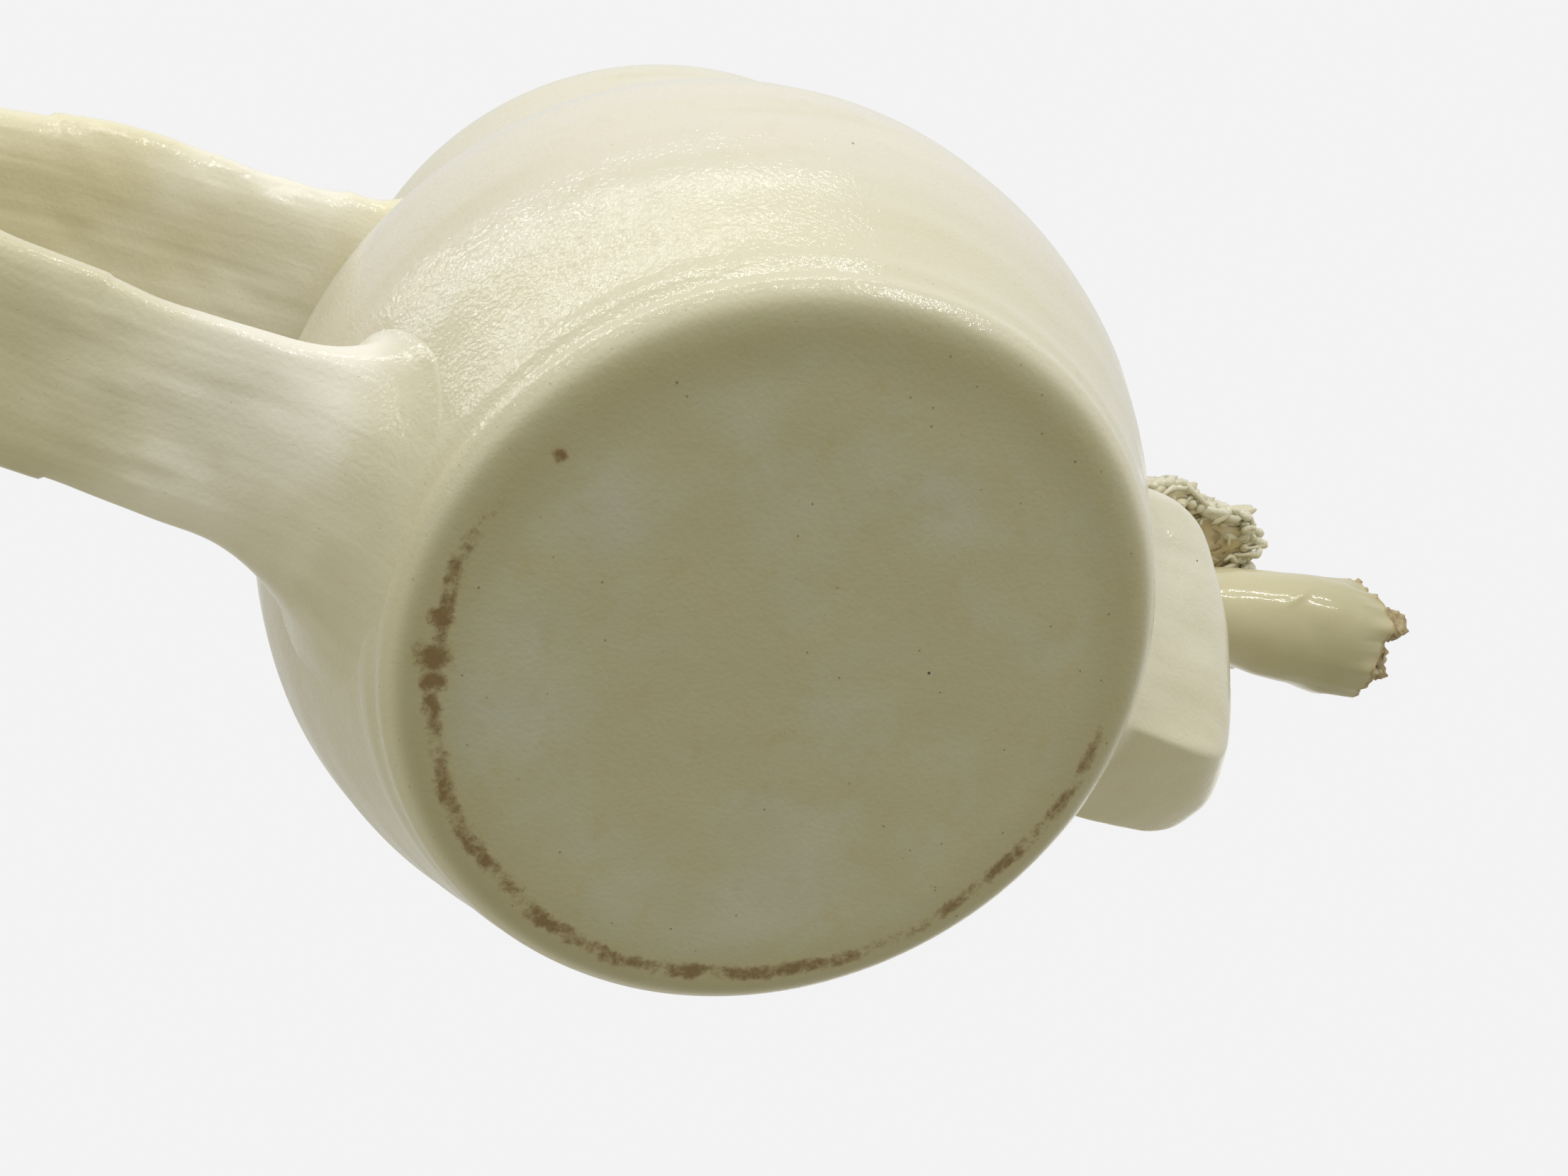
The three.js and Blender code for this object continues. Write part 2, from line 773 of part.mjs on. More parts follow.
const features = new THREE.Group();
features.add(piece("nose", noseWithNostrils(), glaze));
for (const [word, side] of [
  ["left", 1],
  ["right", -1],
]) {
  features.add(
    piece("moustache_" + word, moustache(side), glaze),
    piece("eyeball_" + word, eyeball(side), paleGlaze),
    piece("upper_eyelid_" + word, eyelid(side, true), glaze),
    piece("lower_eyelid_" + word, eyelid(side, false), glaze),
    piece("brow_" + word, brow(side), glaze),
  );
}

const faceMug = new THREE.Group();
faceMug.add(pot, mouth, features);

export default faceMug;
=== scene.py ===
"""Face mug: a thrown mug with a modelled face, a strand moustache, a clay roll and a pulled strap handle.

Every piece is worked out in millimetres on a grid of two parameters, and its mesh is written in metres
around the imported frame. +Z is up, the face looks along -Y, and the figure's own left is at +X.
"""

import math

import bpy
import numpy as np
from mathutils import Euler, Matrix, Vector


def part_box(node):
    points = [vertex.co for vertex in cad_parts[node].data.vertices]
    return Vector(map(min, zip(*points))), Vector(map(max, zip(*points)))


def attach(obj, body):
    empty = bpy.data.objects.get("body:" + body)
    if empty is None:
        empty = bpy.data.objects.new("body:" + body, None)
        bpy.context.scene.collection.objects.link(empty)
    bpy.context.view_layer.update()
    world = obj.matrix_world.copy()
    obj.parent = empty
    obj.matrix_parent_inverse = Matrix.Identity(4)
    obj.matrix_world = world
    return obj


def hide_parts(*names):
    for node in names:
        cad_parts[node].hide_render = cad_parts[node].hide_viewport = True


bl_info = {
    "name": "Face Mug",
    "version": (1, 0, 0),
    "blender": (4, 5, 0),
    "location": "3D View > Sidebar > Face Mug",
    "description": "A glazed face mug made of separately formed pieces of clay",
    "category": "Add Mesh",
}

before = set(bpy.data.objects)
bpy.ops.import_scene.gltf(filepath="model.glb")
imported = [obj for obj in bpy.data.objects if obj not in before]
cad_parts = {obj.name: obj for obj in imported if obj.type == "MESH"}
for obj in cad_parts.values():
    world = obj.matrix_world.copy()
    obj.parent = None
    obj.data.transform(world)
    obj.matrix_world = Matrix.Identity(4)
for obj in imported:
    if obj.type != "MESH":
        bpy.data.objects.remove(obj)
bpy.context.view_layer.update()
POT_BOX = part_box("mug_body")
STRAP_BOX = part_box("handle_strap")

MM = 0.001
TAU = 2 * math.pi
UP = np.array([0, 0, 1.0])

# The photograph's frame, in pixels
PHOTO_WIDTH = 2212
FOCAL_PIXELS = 2500


# Curves and noise


def smoothstep(low, high, value):
    """0 up to `low`, 1 from `high`, and t * t * (3 - 2 * t) between them."""
    t = np.clip((value - low) / (high - low), 0, 1)
    return t * t * (3 - 2 * t)


def bell(value, middle, width):
    """A bell curve: e to the minus square of the distance from the middle, counted in widths."""
    return np.exp(-(((value - middle) / width) ** 2))


def bezier(a, b, c, d, count):
    """Points of a cubic Bezier curve, at even steps of its parameter, without the first."""
    t = np.linspace(0, 1, count + 1)[1:, None]
    s = 1 - t
    return s**3 * np.array(a) + 3 * s * s * t * np.array(b) + 3 * s * t * t * np.array(c) + t**3 * np.array(d)


def catmull_rom(points, steps):
    """A centripetal Catmull-Rom curve: between two points, knots are spaced by the root of their distance."""
    p = np.array(points, float)
    p = np.vstack([2 * p[0] - p[1], p, 2 * p[-1] - p[-2]])
    knots = np.concatenate([[0], np.cumsum(np.linalg.norm(np.diff(p, axis=0), axis=1) ** 0.5)])
    pieces = []
    for i in range(1, len(p) - 2):
        t0, t1, t2, t3 = knots[i - 1 : i + 3]
        t = np.linspace(t1, t2, steps, endpoint=i == len(p) - 3)[:, None]
        a1 = ((t1 - t) * p[i - 1] + (t - t0) * p[i]) / (t1 - t0)
        a2 = ((t2 - t) * p[i] + (t - t1) * p[i + 1]) / (t2 - t1)
        a3 = ((t3 - t) * p[i + 1] + (t - t2) * p[i + 2]) / (t3 - t2)
        b1 = ((t2 - t) * a1 + (t - t0) * a2) / (t2 - t0)
        b2 = ((t3 - t) * a2 + (t - t1) * a3) / (t3 - t1)
        pieces.append(((t2 - t) * b1 + (t - t1) * b2) / (t2 - t1))
    return np.vstack(pieces)


def unit(vectors):
    """The vectors at length 1."""
    return vectors / np.linalg.norm(vectors, axis=-1)[..., None]


def distances(points):
    """How far along a line each of its points lies."""
    return np.concatenate([[0], np.cumsum(np.linalg.norm(np.diff(points, axis=0), axis=1))])


def at_places(places, along, values):
    """Points or directions of a line at the given distances along it."""
    return np.stack([np.interp(places, along, values[:, k]) for k in range(3)], axis=1)


def evenly(points, count):
    """The same line with its points spaced evenly along it."""
    along = distances(points)
    return at_places(np.linspace(0, along[-1], count), along, points)


def cloud(points, size, seed):
    """Soft noise: 14 sine waves of about the given length in seeded random directions.

    Their sum is shared out by the root of their number, so that the noise mostly lies between -1 and 1.
    """
    waves = 14
    draw = np.random.default_rng(seed)
    directions = draw.normal(size=(waves, 3))
    directions /= np.linalg.norm(directions, axis=1)[:, None]
    directions *= TAU / size * draw.uniform(0.6, 1.6, (waves, 1))
    phases = draw.uniform(0, TAU, waves)
    return np.sin(points @ directions.T + phases).sum(axis=-1) / math.sqrt(waves)


def turns(count):
    """Angles spaced evenly round a ring."""
    return np.arange(count) * TAU / count


def circle(count, squareness=2):
    """The points of a circle of radius 1, or of a superellipse."""
    return superellipse(turns(count), squareness)


def superellipse(angles, squareness):
    """A circle pushed out to its corners: the size of its cosine and sine is raised to 2 / squareness."""
    power = 2 / squareness
    x = np.cos(angles)
    y = np.sin(angles)
    return np.sign(x) * np.abs(x) ** power, np.sign(y) * np.abs(y) ** power


# Meshes


def skin(rows):
    """A closed skin over a grid of rings: quads between rings, and each end ring fanned to its mean."""
    count, around = rows.shape[:2]
    index = np.arange(count * around).reshape(count, around)
    after = np.roll(index, -1, axis=1)
    quads = np.stack([index[:-1], after[:-1], after[1:], index[1:]], axis=-1).reshape(-1, 4)
    points = np.vstack([rows.reshape(-1, 3), rows[0].mean(axis=0), rows[-1].mean(axis=0)])
    first, last = count * around, count * around + 1
    start = np.stack([after[0], index[0], np.full(around, first)], axis=1)
    end = np.stack([index[-1], after[-1], np.full(around, last)], axis=1)
    return points, quads, np.vstack([start, end])


def volume(points, quads, triangles):
    """Six times the signed volume: the sum over faces of a . (b x c)."""
    faces = np.vstack([quads[:, [0, 1, 2]], quads[:, [0, 2, 3]], triangles])
    a, b, c = (points[faces[:, k]] for k in range(3))
    return (a * np.cross(b, c)).sum()


def gather(skins):
    """Several closed skins as one set of points and faces, each turned to face outwards."""
    points, quads, triangles = [], [], []
    base = 0
    for p, q, t in skins:
        if volume(p - p.mean(axis=0), q, t) < 0:
            q, t = q[:, ::-1], t[:, ::-1]
        points.append(p)
        quads.append(q + base)
        triangles.append(t + base)
        base += len(p)
    return np.vstack(points), np.vstack(quads), np.vstack(triangles)


def mesh_piece(name, skins, material, attributes=None):
    """A smooth-shaded object of the given skins, from millimetres to metres, with values at its points."""
    points, quads, triangles = gather(skins)
    mesh = bpy.data.meshes.new(name)
    corners = np.concatenate([quads.ravel(), triangles.ravel()])
    sizes = np.concatenate([np.full(len(quads), 4), np.full(len(triangles), 3)])
    starts = np.concatenate([[0], np.cumsum(sizes)[:-1]])
    mesh.vertices.add(len(points))
    mesh.vertices.foreach_set("co", (points * MM).astype(np.float32).ravel())
    mesh.loops.add(len(corners))
    mesh.loops.foreach_set("vertex_index", corners.astype(np.int32))
    mesh.polygons.add(len(sizes))
    mesh.polygons.foreach_set("loop_start", starts.astype(np.int32))
    mesh.polygons.foreach_set("use_smooth", np.ones(len(sizes), bool))
    mesh.update(calc_edges=True)
    mesh.validate()
    for key, values in (attributes or {}).items():
        attribute = mesh.attributes.new(key, "FLOAT", "POINT")
        attribute.data.foreach_set("value", np.concatenate(values).astype(np.float32))
    mesh.materials.append(material)
    piece = bpy.data.objects.new(name, mesh)
    bpy.context.scene.collection.objects.link(piece)
    return piece


def seat(piece, node):
    """The piece stands for the frame's node and rides on the part's one body."""
    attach(piece, "root")
    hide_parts(node)


def tube(path, section, across):
    """A section carried along a path. Its first axis lies along `across` made square to the path."""
    across = np.array(across, float)
    tangent = unit(np.gradient(path, axis=0))
    side = unit(across - tangent * (tangent @ across)[:, None])
    rise = np.cross(tangent, side)
    return path[:, None] + section[..., :1] * side[:, None] + section[..., 1:] * rise[:, None]


def thread(path, radius, across):
    """A round thread with domed ends: the radius falls as a quarter circle over its last radius of length."""
    along = distances(path)
    to_end = np.minimum(along, along[-1] - along) / radius
    dome = np.sqrt(np.clip(1 - (1 - np.clip(to_end, 0, 1)) ** 2, 0.02, 1))
    section = np.stack(circle(8), axis=1)[None] * (radius * dome)[:, None, None]
    return tube(path, section, across)


# The pot


class PotForm:
    """The outside of the pot: its radius and lean at a height, and places on its skin, in millimetres."""

    def __init__(self, pot):
        self.height = pot.height / MM
        self.foot = pot.foot_radius / MM
        self.belly = pot.belly_radius / MM
        self.belly_height = pot.belly_height / MM
        self.neck = pot.neck_radius / MM
        self.neck_height = self.height - pot.neck_below_rim / MM
        self.rim = pot.rim_radius / MM
        self.wall = pot.wall / MM
        self.floor = pot.floor_thickness / MM
        self.lean = pot.rim_lean / MM
        self.turn = pot.face_turn
        self.foot_top = (self.foot + 4.4, 3.6)
        self.shoulder = self.height - self.wall / 2
        self.outside = self.outside_points()

    def between(self, low, high, share):
        """The value at a share of the way from low to high."""
        return low + (high - low) * share

    def outside_points(self):
        """Foot, belly, neck and rim as Bezier stretches that follow each other smoothly."""
        mix = self.between
        foot_r, foot_z = self.foot_top
        knee = (self.foot + 0.72 * (foot_r - self.foot), 0)
        corner = (self.foot, 0)
        lift = (knee[0] + (foot_r - knee[0]) / 3, foot_z / 3)
        run = (corner[0] + 2 * (knee[0] - corner[0]) / 3, 0)
        belly = (self.belly, self.belly_height)
        neck = (self.neck, self.neck_height)
        below_belly = (
            (mix(foot_r, self.belly, 0.66), mix(foot_z, self.belly_height, 0.49)),
            (self.belly, mix(foot_z, self.belly_height, 0.63)),
        )
        return np.vstack([
            [corner],
            bezier(corner, run, lift, self.foot_top, 16),
            bezier(self.foot_top, *below_belly, belly, 60),
            self.stretch(belly, neck, 0.32, 0.63, 50),
            self.stretch(neck, (self.rim, self.shoulder), 0.4, 0.7, 18),
        ])

    def stretch(self, start, end, low, high, count):
        """From one place to another, upright at both, with its pull points at two shares of the height."""
        near = (start[0], self.between(start[1], end[1], low))
        far = (end[0], self.between(start[1], end[1], high))
        return bezier(start, near, far, end, count)

    def radius_at(self, z):
        """The outer radius at a height."""
        return np.interp(z, self.outside[:, 1], self.outside[:, 0])

    def lean_at(self, z):
        """How far the middle is pushed over at a height."""
        return -self.lean * smoothstep(self.belly_height, self.height, z)

    def on_face(self, across, z, out):
        """A place on the face: `across` is measured round the pot, `out` from its surface."""
        radius = self.radius_at(z) + out
        angle = across / radius - self.turn
        return np.stack([radius * np.sin(angle), self.lean_at(z) - radius * np.cos(angle), z + 0 * angle], -1)

    def depth_outside(self, points):
        """How far points lie outside the pot's surface, measured level with the base."""
        x, y, z = np.moveaxis(points, -1, 0)
        return np.hypot(x, y - self.lean_at(z)) - self.radius_at(z)

    def met_along(self, points, direction):
        """Where lines through the points meet the pot's surface, found by halving a stretch of 60 mm."""
        inside = points - 30 * direction
        outside = points + 30 * direction
        for _ in range(26):
            middle = (inside + outside) / 2
            is_out = (self.depth_outside(middle) > 0)[..., None]
            outside = np.where(is_out, middle, outside)
            inside = np.where(is_out, inside, middle)
        return (inside + outside) / 2


def pot_profile(form):
    """Radius and height from the middle of the base, up the outside, over the rim and down to the floor."""
    base = np.stack([np.linspace(0.6, form.foot - 0.5, BASE_POINTS), np.zeros(BASE_POINTS)], axis=1)
    lip = form.wall / 2
    bend = np.linspace(0, math.pi, 16)[1:]
    rim = np.stack([form.rim - lip + lip * np.cos(bend), form.shoulder + lip * np.sin(bend)], axis=1)
    inner_rim = (form.rim - form.wall, form.shoulder)
    inner_neck = (form.neck - form.wall, form.neck_height)
    inner_belly = (form.belly - form.wall, form.belly_height)
    floor_start = form.foot_top[0] - form.wall
    to_floor = (
        (inner_belly[0], form.between(form.belly_height, form.floor, 0.4)),
        (floor_start + 3, form.floor),
    )
    inside = np.vstack([
        form.stretch(inner_rim, inner_neck, 0.5, 0.6, 10),
        form.stretch(inner_neck, inner_belly, 0.37, 0.68, 22),
        bezier(inner_belly, *to_floor, (floor_start - 9, form.floor), 22),
    ])
    floor = np.stack([np.linspace(floor_start - 10, 0.6, 10), np.full(10, form.floor)], axis=1)
    return np.vstack([base, form.outside, rim, inside, floor])


def pot_skin(form, pot):
    """The profile turned about the leaning axis, with throwing rings and foot rings on its radius.

    Throwing rings are a sine of the height less a share of the turn, which makes a spiral. Foot rings are
    bells of the height. The base rises by soft noise that dies out towards its edge.
    """
    profile = pot_profile(form)
    turn = turns(300)
    r = profile[:, :1] + 0 * turn
    z = profile[:, 1:] + 0 * turn
    outer = (np.arange(len(profile)) < BASE_POINTS + len(form.outside))[:, None]
    pitch = pot.ring_pitch / MM
    place = np.stack([r * np.cos(turn), r * np.sin(turn), z], axis=-1)
    soft = cloud(place, 30, 5)
    spiral = np.sin(TAU * (z / pitch - turn / TAU) + 0.8 * soft)
    rising = smoothstep(6, 16, z) * (1 - smoothstep(form.height - 6, form.height - 1, z))
    rings = pot.ring_height / MM * spiral * rising * (0.6 + 0.4 * cloud(place, 45, 8))
    foot = 0.2 * bell(z, 5.0, 0.9) - 0.12 * bell(z, 3.5, 0.7) + 0.16 * bell(z, 2.1, 0.7)
    foot = foot * (0.75 + 0.25 * cloud(place, 22, 3))
    wobble = 0.12 * cloud(place, 60, 11) * smoothstep(2, 12, z)
    inner_rings = 0.12 * np.sin(TAU * (z / pitch + turn / TAU)) * smoothstep(10, 20, z)
    grown = r + np.where(outer, rings + foot, inner_rings * (1 - smoothstep(80, 88, z))) + wobble
    base = outer & (r < form.foot)
    lift = 0.05 * (1.4 + cloud(place, 12, 21)) * (1 - smoothstep(form.foot - 4, form.foot - 0.5, r))
    z = z + np.where(base & (z < 0.01), np.maximum(lift, 0), 0)
    grown = np.where(base, r, grown)
    return skin(np.stack([grown * np.cos(turn), grown * np.sin(turn) + form.lean_at(z), z], axis=-1))


# Points of the profile across the base, before the corner of the foot
BASE_POINTS = 22


# The handle


def strap_line(form, handle):
    """The middle line of the strap, from inside the wall at its lower root to inside it at its upper one."""
    low = handle.lower_root / MM
    high = form.height - handle.upper_root_below_rim / MM
    start = form.radius_at(low) - form.wall
    end = form.radius_at(high) - form.wall
    outer = handle.reach / MM - handle.thickness_bottom / MM / 2
    bends = [(0.3, -0.035), (0.62, -0.01), (0.87, 0.12), (1, 0.36), (0.91, 0.59), (0.67, 0.77), (0.33, 0.89)]
    points = [(0, start, low)]
    points += [(0, form.between(start, outer, y), form.between(low, high, z)) for y, z in bends]
    points += [(0, end + form.lean_at(high), high)]
    return evenly(catmull_rom(points, 40), 320)


def strap_places(form, handle):
    """The strap's middle line outside the pot: its points, their directions, and the distance along to each.

    The points are close together near the two ends, where the flares bend sharply.
    """
    line = strap_line(form, handle)
    tangent = unit(np.gradient(line, axis=0))
    outside = form.depth_outside(line)
    first = int(np.argmax(outside > 0))
    last = len(line) - 1 - int(np.argmax(outside[::-1] > 0))
    line, tangent = line[first : last + 1], tangent[first : last + 1]
    along = distances(line)
    whole = along[-1]
    ease = FLARE_ZONE * (1 - np.cos(np.linspace(0, math.pi / 2, 34)))
    middle = np.linspace(FLARE_ZONE, whole - FLARE_ZONE, 290)[1:-1]
    places = np.concatenate([ease, middle, whole - ease[::-1]])
    return at_places(places, along, line), unit(at_places(places, along, tangent)), places


# The length at each end of the strap where its points lie close together, in millimetres
FLARE_ZONE = 16


def strap_section(form, handle, places, angles):
    """Across and outwards of the strap's points about its middle line, in millimetres.

    The section is a superellipse, flat outside and rounder inside, with each face drawn in along its middle.
    """
    share = (places / places[-1])[:, None]
    nearest = np.minimum(places, places[-1] - places)[:, None]
    outer_face = np.sin(angles) > 0
    x, y = np.where(outer_face, superellipse(angles, 3.0), superellipse(angles, 2.25))
    upper = smoothstep(0.5, 0.9, share)
    width = form.between(handle.width_bottom, handle.width_top, upper) / MM
    knots, right_extra, left_extra = catmull_rom(STRAP_EXTRAS, 8).T
    extra = np.where(x > 0, np.interp(share, knots, left_extra), np.interp(share, knots, right_extra))
    thickness = form.between(handle.thickness_bottom, handle.thickness_top, share) / MM
    u = (width / 2 + extra) * x
    v = thickness / 2 * y
    hollow = np.clip(1 - (u / (0.36 * width)) ** 2, 0, 1) ** 1.5
    inner = np.where(y > 0, handle.hollow_outside / MM, handle.hollow_inside / MM)
    return u, v - np.sign(y) * inner * hollow * smoothstep(0, 14, nearest)


def flare_about(angles, sides):
    """A flare by its sizes at six sides of the section, joined smoothly.

    The sides are the left, the left outside, the outside, the right outside, the right and the inside.
    """
    knots = np.array([0, 45, 90, 135, 180, 270, 360])
    sizes = np.array([*sides, sides[0]])
    line = catmull_rom(np.stack([knots / 20, sizes, 0 * sizes], axis=1), 10)
    return np.interp(np.degrees(angles), line[:, 0] * 20, line[:, 1])


def strap_flares(handle, angles, places):
    """For each end: the distance from it, its place in the line, its flare, and the share that rises."""
    wide, sweep, tuck = handle.lower_flare, handle.lower_sweep, handle.lower_tuck
    lower = flare_about(angles, (wide, sweep, sweep, tuck, tuck, handle.lower_inside)) / MM
    upper = flare_about(angles, (handle.upper_flare,) * 5 + (handle.upper_inside,)) / MM
    low_rise = flare_about(angles, (1, 1, 1, 0.8, 0.42, 0.6))
    return (places, 0, lower, low_rise), (places[-1] - places, -1, upper, 1)


def strap_relief(rows, u, places, outer_face):
    """How far the surface stands up: soft noise, shallow grooves that pulling leaves, and finger marks."""
    nearest = np.minimum(places, places[-1] - places)[:, None]
    along = places[:, None]
    soft = 0.22 * cloud(rows, 17, 31) + 0.08 * cloud(rows, 6, 32)
    sway = 0.5 * np.sin(along / 17)
    pulled = 0.09 * np.sin(1.9 * u + sway) + 0.07 * np.sin(3.3 * u - 1.3 * sway + 1)
    pulled = (pulled + 0.04 * np.sin(6.1 * u + 2)) * (0.6 + 0.4 * np.sin(along / 11 + 2))
    marks = finger_marks(along + 0 * u, u, outer_face)
    height = soft * smoothstep(0, 12, nearest) + pulled * smoothstep(4, 18, nearest) + marks
    return height * smoothstep(0, 3, nearest)


def strap_skin(form, handle):
    """A broad strap whose ends flare on to the pot.

    Near an end, the outline grows by g, and its distance d from the pot follows the quarter circle
    g = f - sqrt(f * f - (f - d) * (f - d)), where f is the flare. On the right of the lower end it grows by a
    share of that, so that the flare is long and low there. Each such point is set out from the pot's own
    surface, so that the flare meets the pot without a step, and passes over to the plain strap further out.
    """
    angles = turns(140)
    line, tangent, places = strap_places(form, handle)
    u, v = strap_section(form, handle, places, angles)
    side = np.array([1.0, 0, 0])
    rise = np.cross(tangent, side)
    rows = line[:, None] + u[..., None] * side + v[..., None] * rise[:, None]
    normal_x, normal_y = np.cos(angles), np.sin(angles)
    for distance, end, flare, rising in strap_flares(handle, angles, places):
        near = np.clip(flare - distance[:, None], 0, flare)
        grow = (flare - np.sqrt(flare**2 - near**2)) * rising
        out = tangent[end] if end == 0 else -tangent[end]
        flat = line[end] + (u + grow * normal_x)[..., None] * side
        flat = flat + (v + grow * normal_y)[..., None] * rise[end]
        flat[..., 2] = np.maximum(flat[..., 2], LEAST_HEIGHT)
        on_pot = form.met_along(flat, out) + (distance[:, None, None] - 0.1) * out
        weight = smoothstep(0.6 * flare, 2.0 * flare, distance[:, None])[..., None]
        rows = on_pot * (1 - weight) + rows * weight
    relief = strap_relief(rows, u, places, np.sin(angles) > 0)
    rows = rows + unit(rows - line[:, None]) * relief[..., None]
    ends = [rows[0] - 1.2 * tangent[0], rows[-1] + 1.2 * tangent[-1]]
    return skin(np.vstack([ends[0][None], rows, ends[1][None]]))


# A flare reaches down to this height and no lower, in millimetres
LEAST_HEIGHT = 2.2

# Share of the way along the strap, and how much further its right and left sides stand out, in millimetres
STRAP_EXTRAS = [
    (0, 0, 0),
    (0.08, -0.3, 0),
    (0.14, -0.5, -0.5),
    (0.17, -0.4, -0.5),
    (0.22, -0.1, 0),
    (0.5, 0, 0),
    (0.64, -0.1, 0),
    (0.7, 0.7, 0.3),
    (0.765, 1.0, 0.6),
    (0.81, 0.5, 0.5),
    (0.85, 0.15, 0.2),
    (0.89, -0.4, -0.1),
    (0.925, -0.1, 0),
    (0.95, 0.8, 0.6),
    (1, 1.0, 0.8),
]


# Marks that fingers left near the lower root, in millimetres: distance from the pot, place across, length,
# width, and height, which is below 0 for a dent
FINGER_MARKS = [
    (17, -5.2, 3.4, 2.4, -0.4),
    (21, -7.4, 2.4, 0.8, 0.26),
    (20, -2.0, 2.2, 0.7, 0.24),
    (15.5, 3.4, 1.6, 0.8, 0.34),
    (13.0, 5.6, 1.0, 1.4, 0.3),
    (16.5, 6.2, 1.1, 0.7, 0.22),
    (24, -3.0, 5.0, 3.0, -0.15),
    (9.5, -8.5, 3.0, 1.2, -0.2),
    (19, 8.0, 3.0, 2.0, -0.2),
]


def finger_marks(along, across, faces_out):
    """Dents and smeared ridges as bells of the distance along and across the strap, on its outer face."""
    marks = sum(h * bell(along, a, la) * bell(across, c, lc) for a, c, la, lc, h in FINGER_MARKS)
    return np.where(faces_out, marks, 0)


# Pieces pressed on to the face


def outline_of(cuts, count, sharpness):
    """A polygon with rounded corners: each cut is the direction and distance of one side.

    The radius at an angle is the p-norm, at the given sharpness, of cos(angle - direction) / distance over
    all the sides that face that way, turned over.
    """
    turn = turns(count)
    facing = [np.clip(np.cos(turn - math.radians(way)), 0, 1) / distance for way, distance in cuts]
    radius = sum(f**sharpness for f in facing) ** (-1 / sharpness)
    return radius * np.cos(turn), radius * np.sin(turn)


def lump_skin(form, centre, outline, depth, fullness, fillet, rows, wobble=0.0, lean=0.0):
    """A lump of clay luted to the pot.

    `outline` is its edge in millimetres about the centre. At a share q of the way from the middle to the
    edge it stands out by depth(x, y) * (1 - q^n)^(1 / n), where n is its fullness. Where it stands out by
    less than the fillet f, it grows outwards by f - sqrt(f * f - (f - out) * (f - out)), so that it meets the
    pot without a step. Its flank wobbles by soft noise, its lower part leans across as it stands out, and
    its back lies 1 mm inside the pot.
    """
    x, y = (np.asarray(side, float) for side in outline)
    slope_x, slope_y = np.roll(x, -1) - np.roll(x, 1), np.roll(y, -1) - np.roll(y, 1)
    size = np.hypot(slope_x, slope_y)
    normal_x, normal_y = slope_y / size, -slope_x / size
    knee = 2 ** (-1 / fullness)
    low_rise = knee * np.linspace(0, 1, rows[0]) ** 2
    high_q = knee * np.linspace(1, 0, rows[1])[1:]
    q = np.concatenate([(1 - low_rise**fullness) ** (1 / fullness), high_q])[:, None]
    rise = np.concatenate([low_rise, (1 - high_q**fullness) ** (1 / fullness)])[:, None]
    out = depth(q * x, q * y) * rise
    near = np.clip(fillet - out, 0, fillet)
    grow = fillet - np.sqrt(fillet**2 - near**2)
    place = np.stack([q * x, q * y, out], axis=-1)
    grow = grow + wobble * (cloud(place, 11, 61) + 0.4 * cloud(place, 4.5, 62)) * q**6 * smoothstep(0, 3, out)
    leaning = lean * (out - 8) * smoothstep(-5, -14, q * y) * smoothstep(0, 3, out)
    across = centre[0] + q * x + grow * normal_x + leaning
    height = np.maximum(centre[1] + q * y + grow * normal_y, 0.8)
    front = form.on_face(across, height, out - 0.08)
    shares = np.array([0.3, 0.65, 1.0])[:, None]
    back = form.on_face(
        centre[0] + (across[0] - centre[0]) * shares,
        centre[1] + (height[0] - centre[1]) * shares,
        -1.0 + 0 * shares,
    )
    return skin(np.concatenate([back, front]))


def chin_skin(form, face):
    """The chin and jaw: a block cut to flat sides all round, whose front rises to a crest off its middle.

    From the crest, the front falls away by a hyperbola of the distance across, steeper on the figure's
    right. Above the chin it draws back under the lip by the square of the height.
    """
    low = face.chin_bottom / MM
    depth = face.chin_depth / MM
    centre = (CHIN_ACROSS, 0.5 * (low + face.chin_top / MM) + 4.3)

    def stand(x, y):
        across = x + centre[0]
        from_crest = across - CHIN_CREST + 0.072 * y
        steep = 0.388 * (np.sqrt(np.clip(-from_crest, 0, None) ** 2 + 2.0) - 1.41)
        gentle = 0.03 * (np.sqrt(np.clip(from_crest, 0, None) ** 2 + 6.0) - 2.45)
        under_lip = 0.17 * np.clip(y - 5, 0, None) ** 2 * smoothstep(-15, -4, across)
        hand = 0.1 * np.sin(0.34 * x + 0.16 * y) + 0.08 * np.sin(0.62 * y - 0.21 * x + 1)
        return np.maximum(depth - steep - gentle - under_lip + hand, 1.5)

    outline = outline_of(CHIN_CUTS, 320, 60)
    return lump_skin(form, centre, outline, stand, 6.7, 3.6, (90, 80), wobble=0.1, lean=0.11)


# The chin's place across, and how far to the figure's left of the middle its crest lies, in millimetres
CHIN_ACROSS = -1.2
CHIN_CREST = 8.8

# The chin's sides: direction in degrees, and distance from its middle in millimetres
CHIN_CUTS = [
    (180, 19.7),
    (223.5, 10.8),
    (286, 16.8),
    (298, 15.9),
    (325, 21.2),
    (0, 16.3),
    (40, 21.5),
    (90, 19.4),
    (135, 19.4),
]


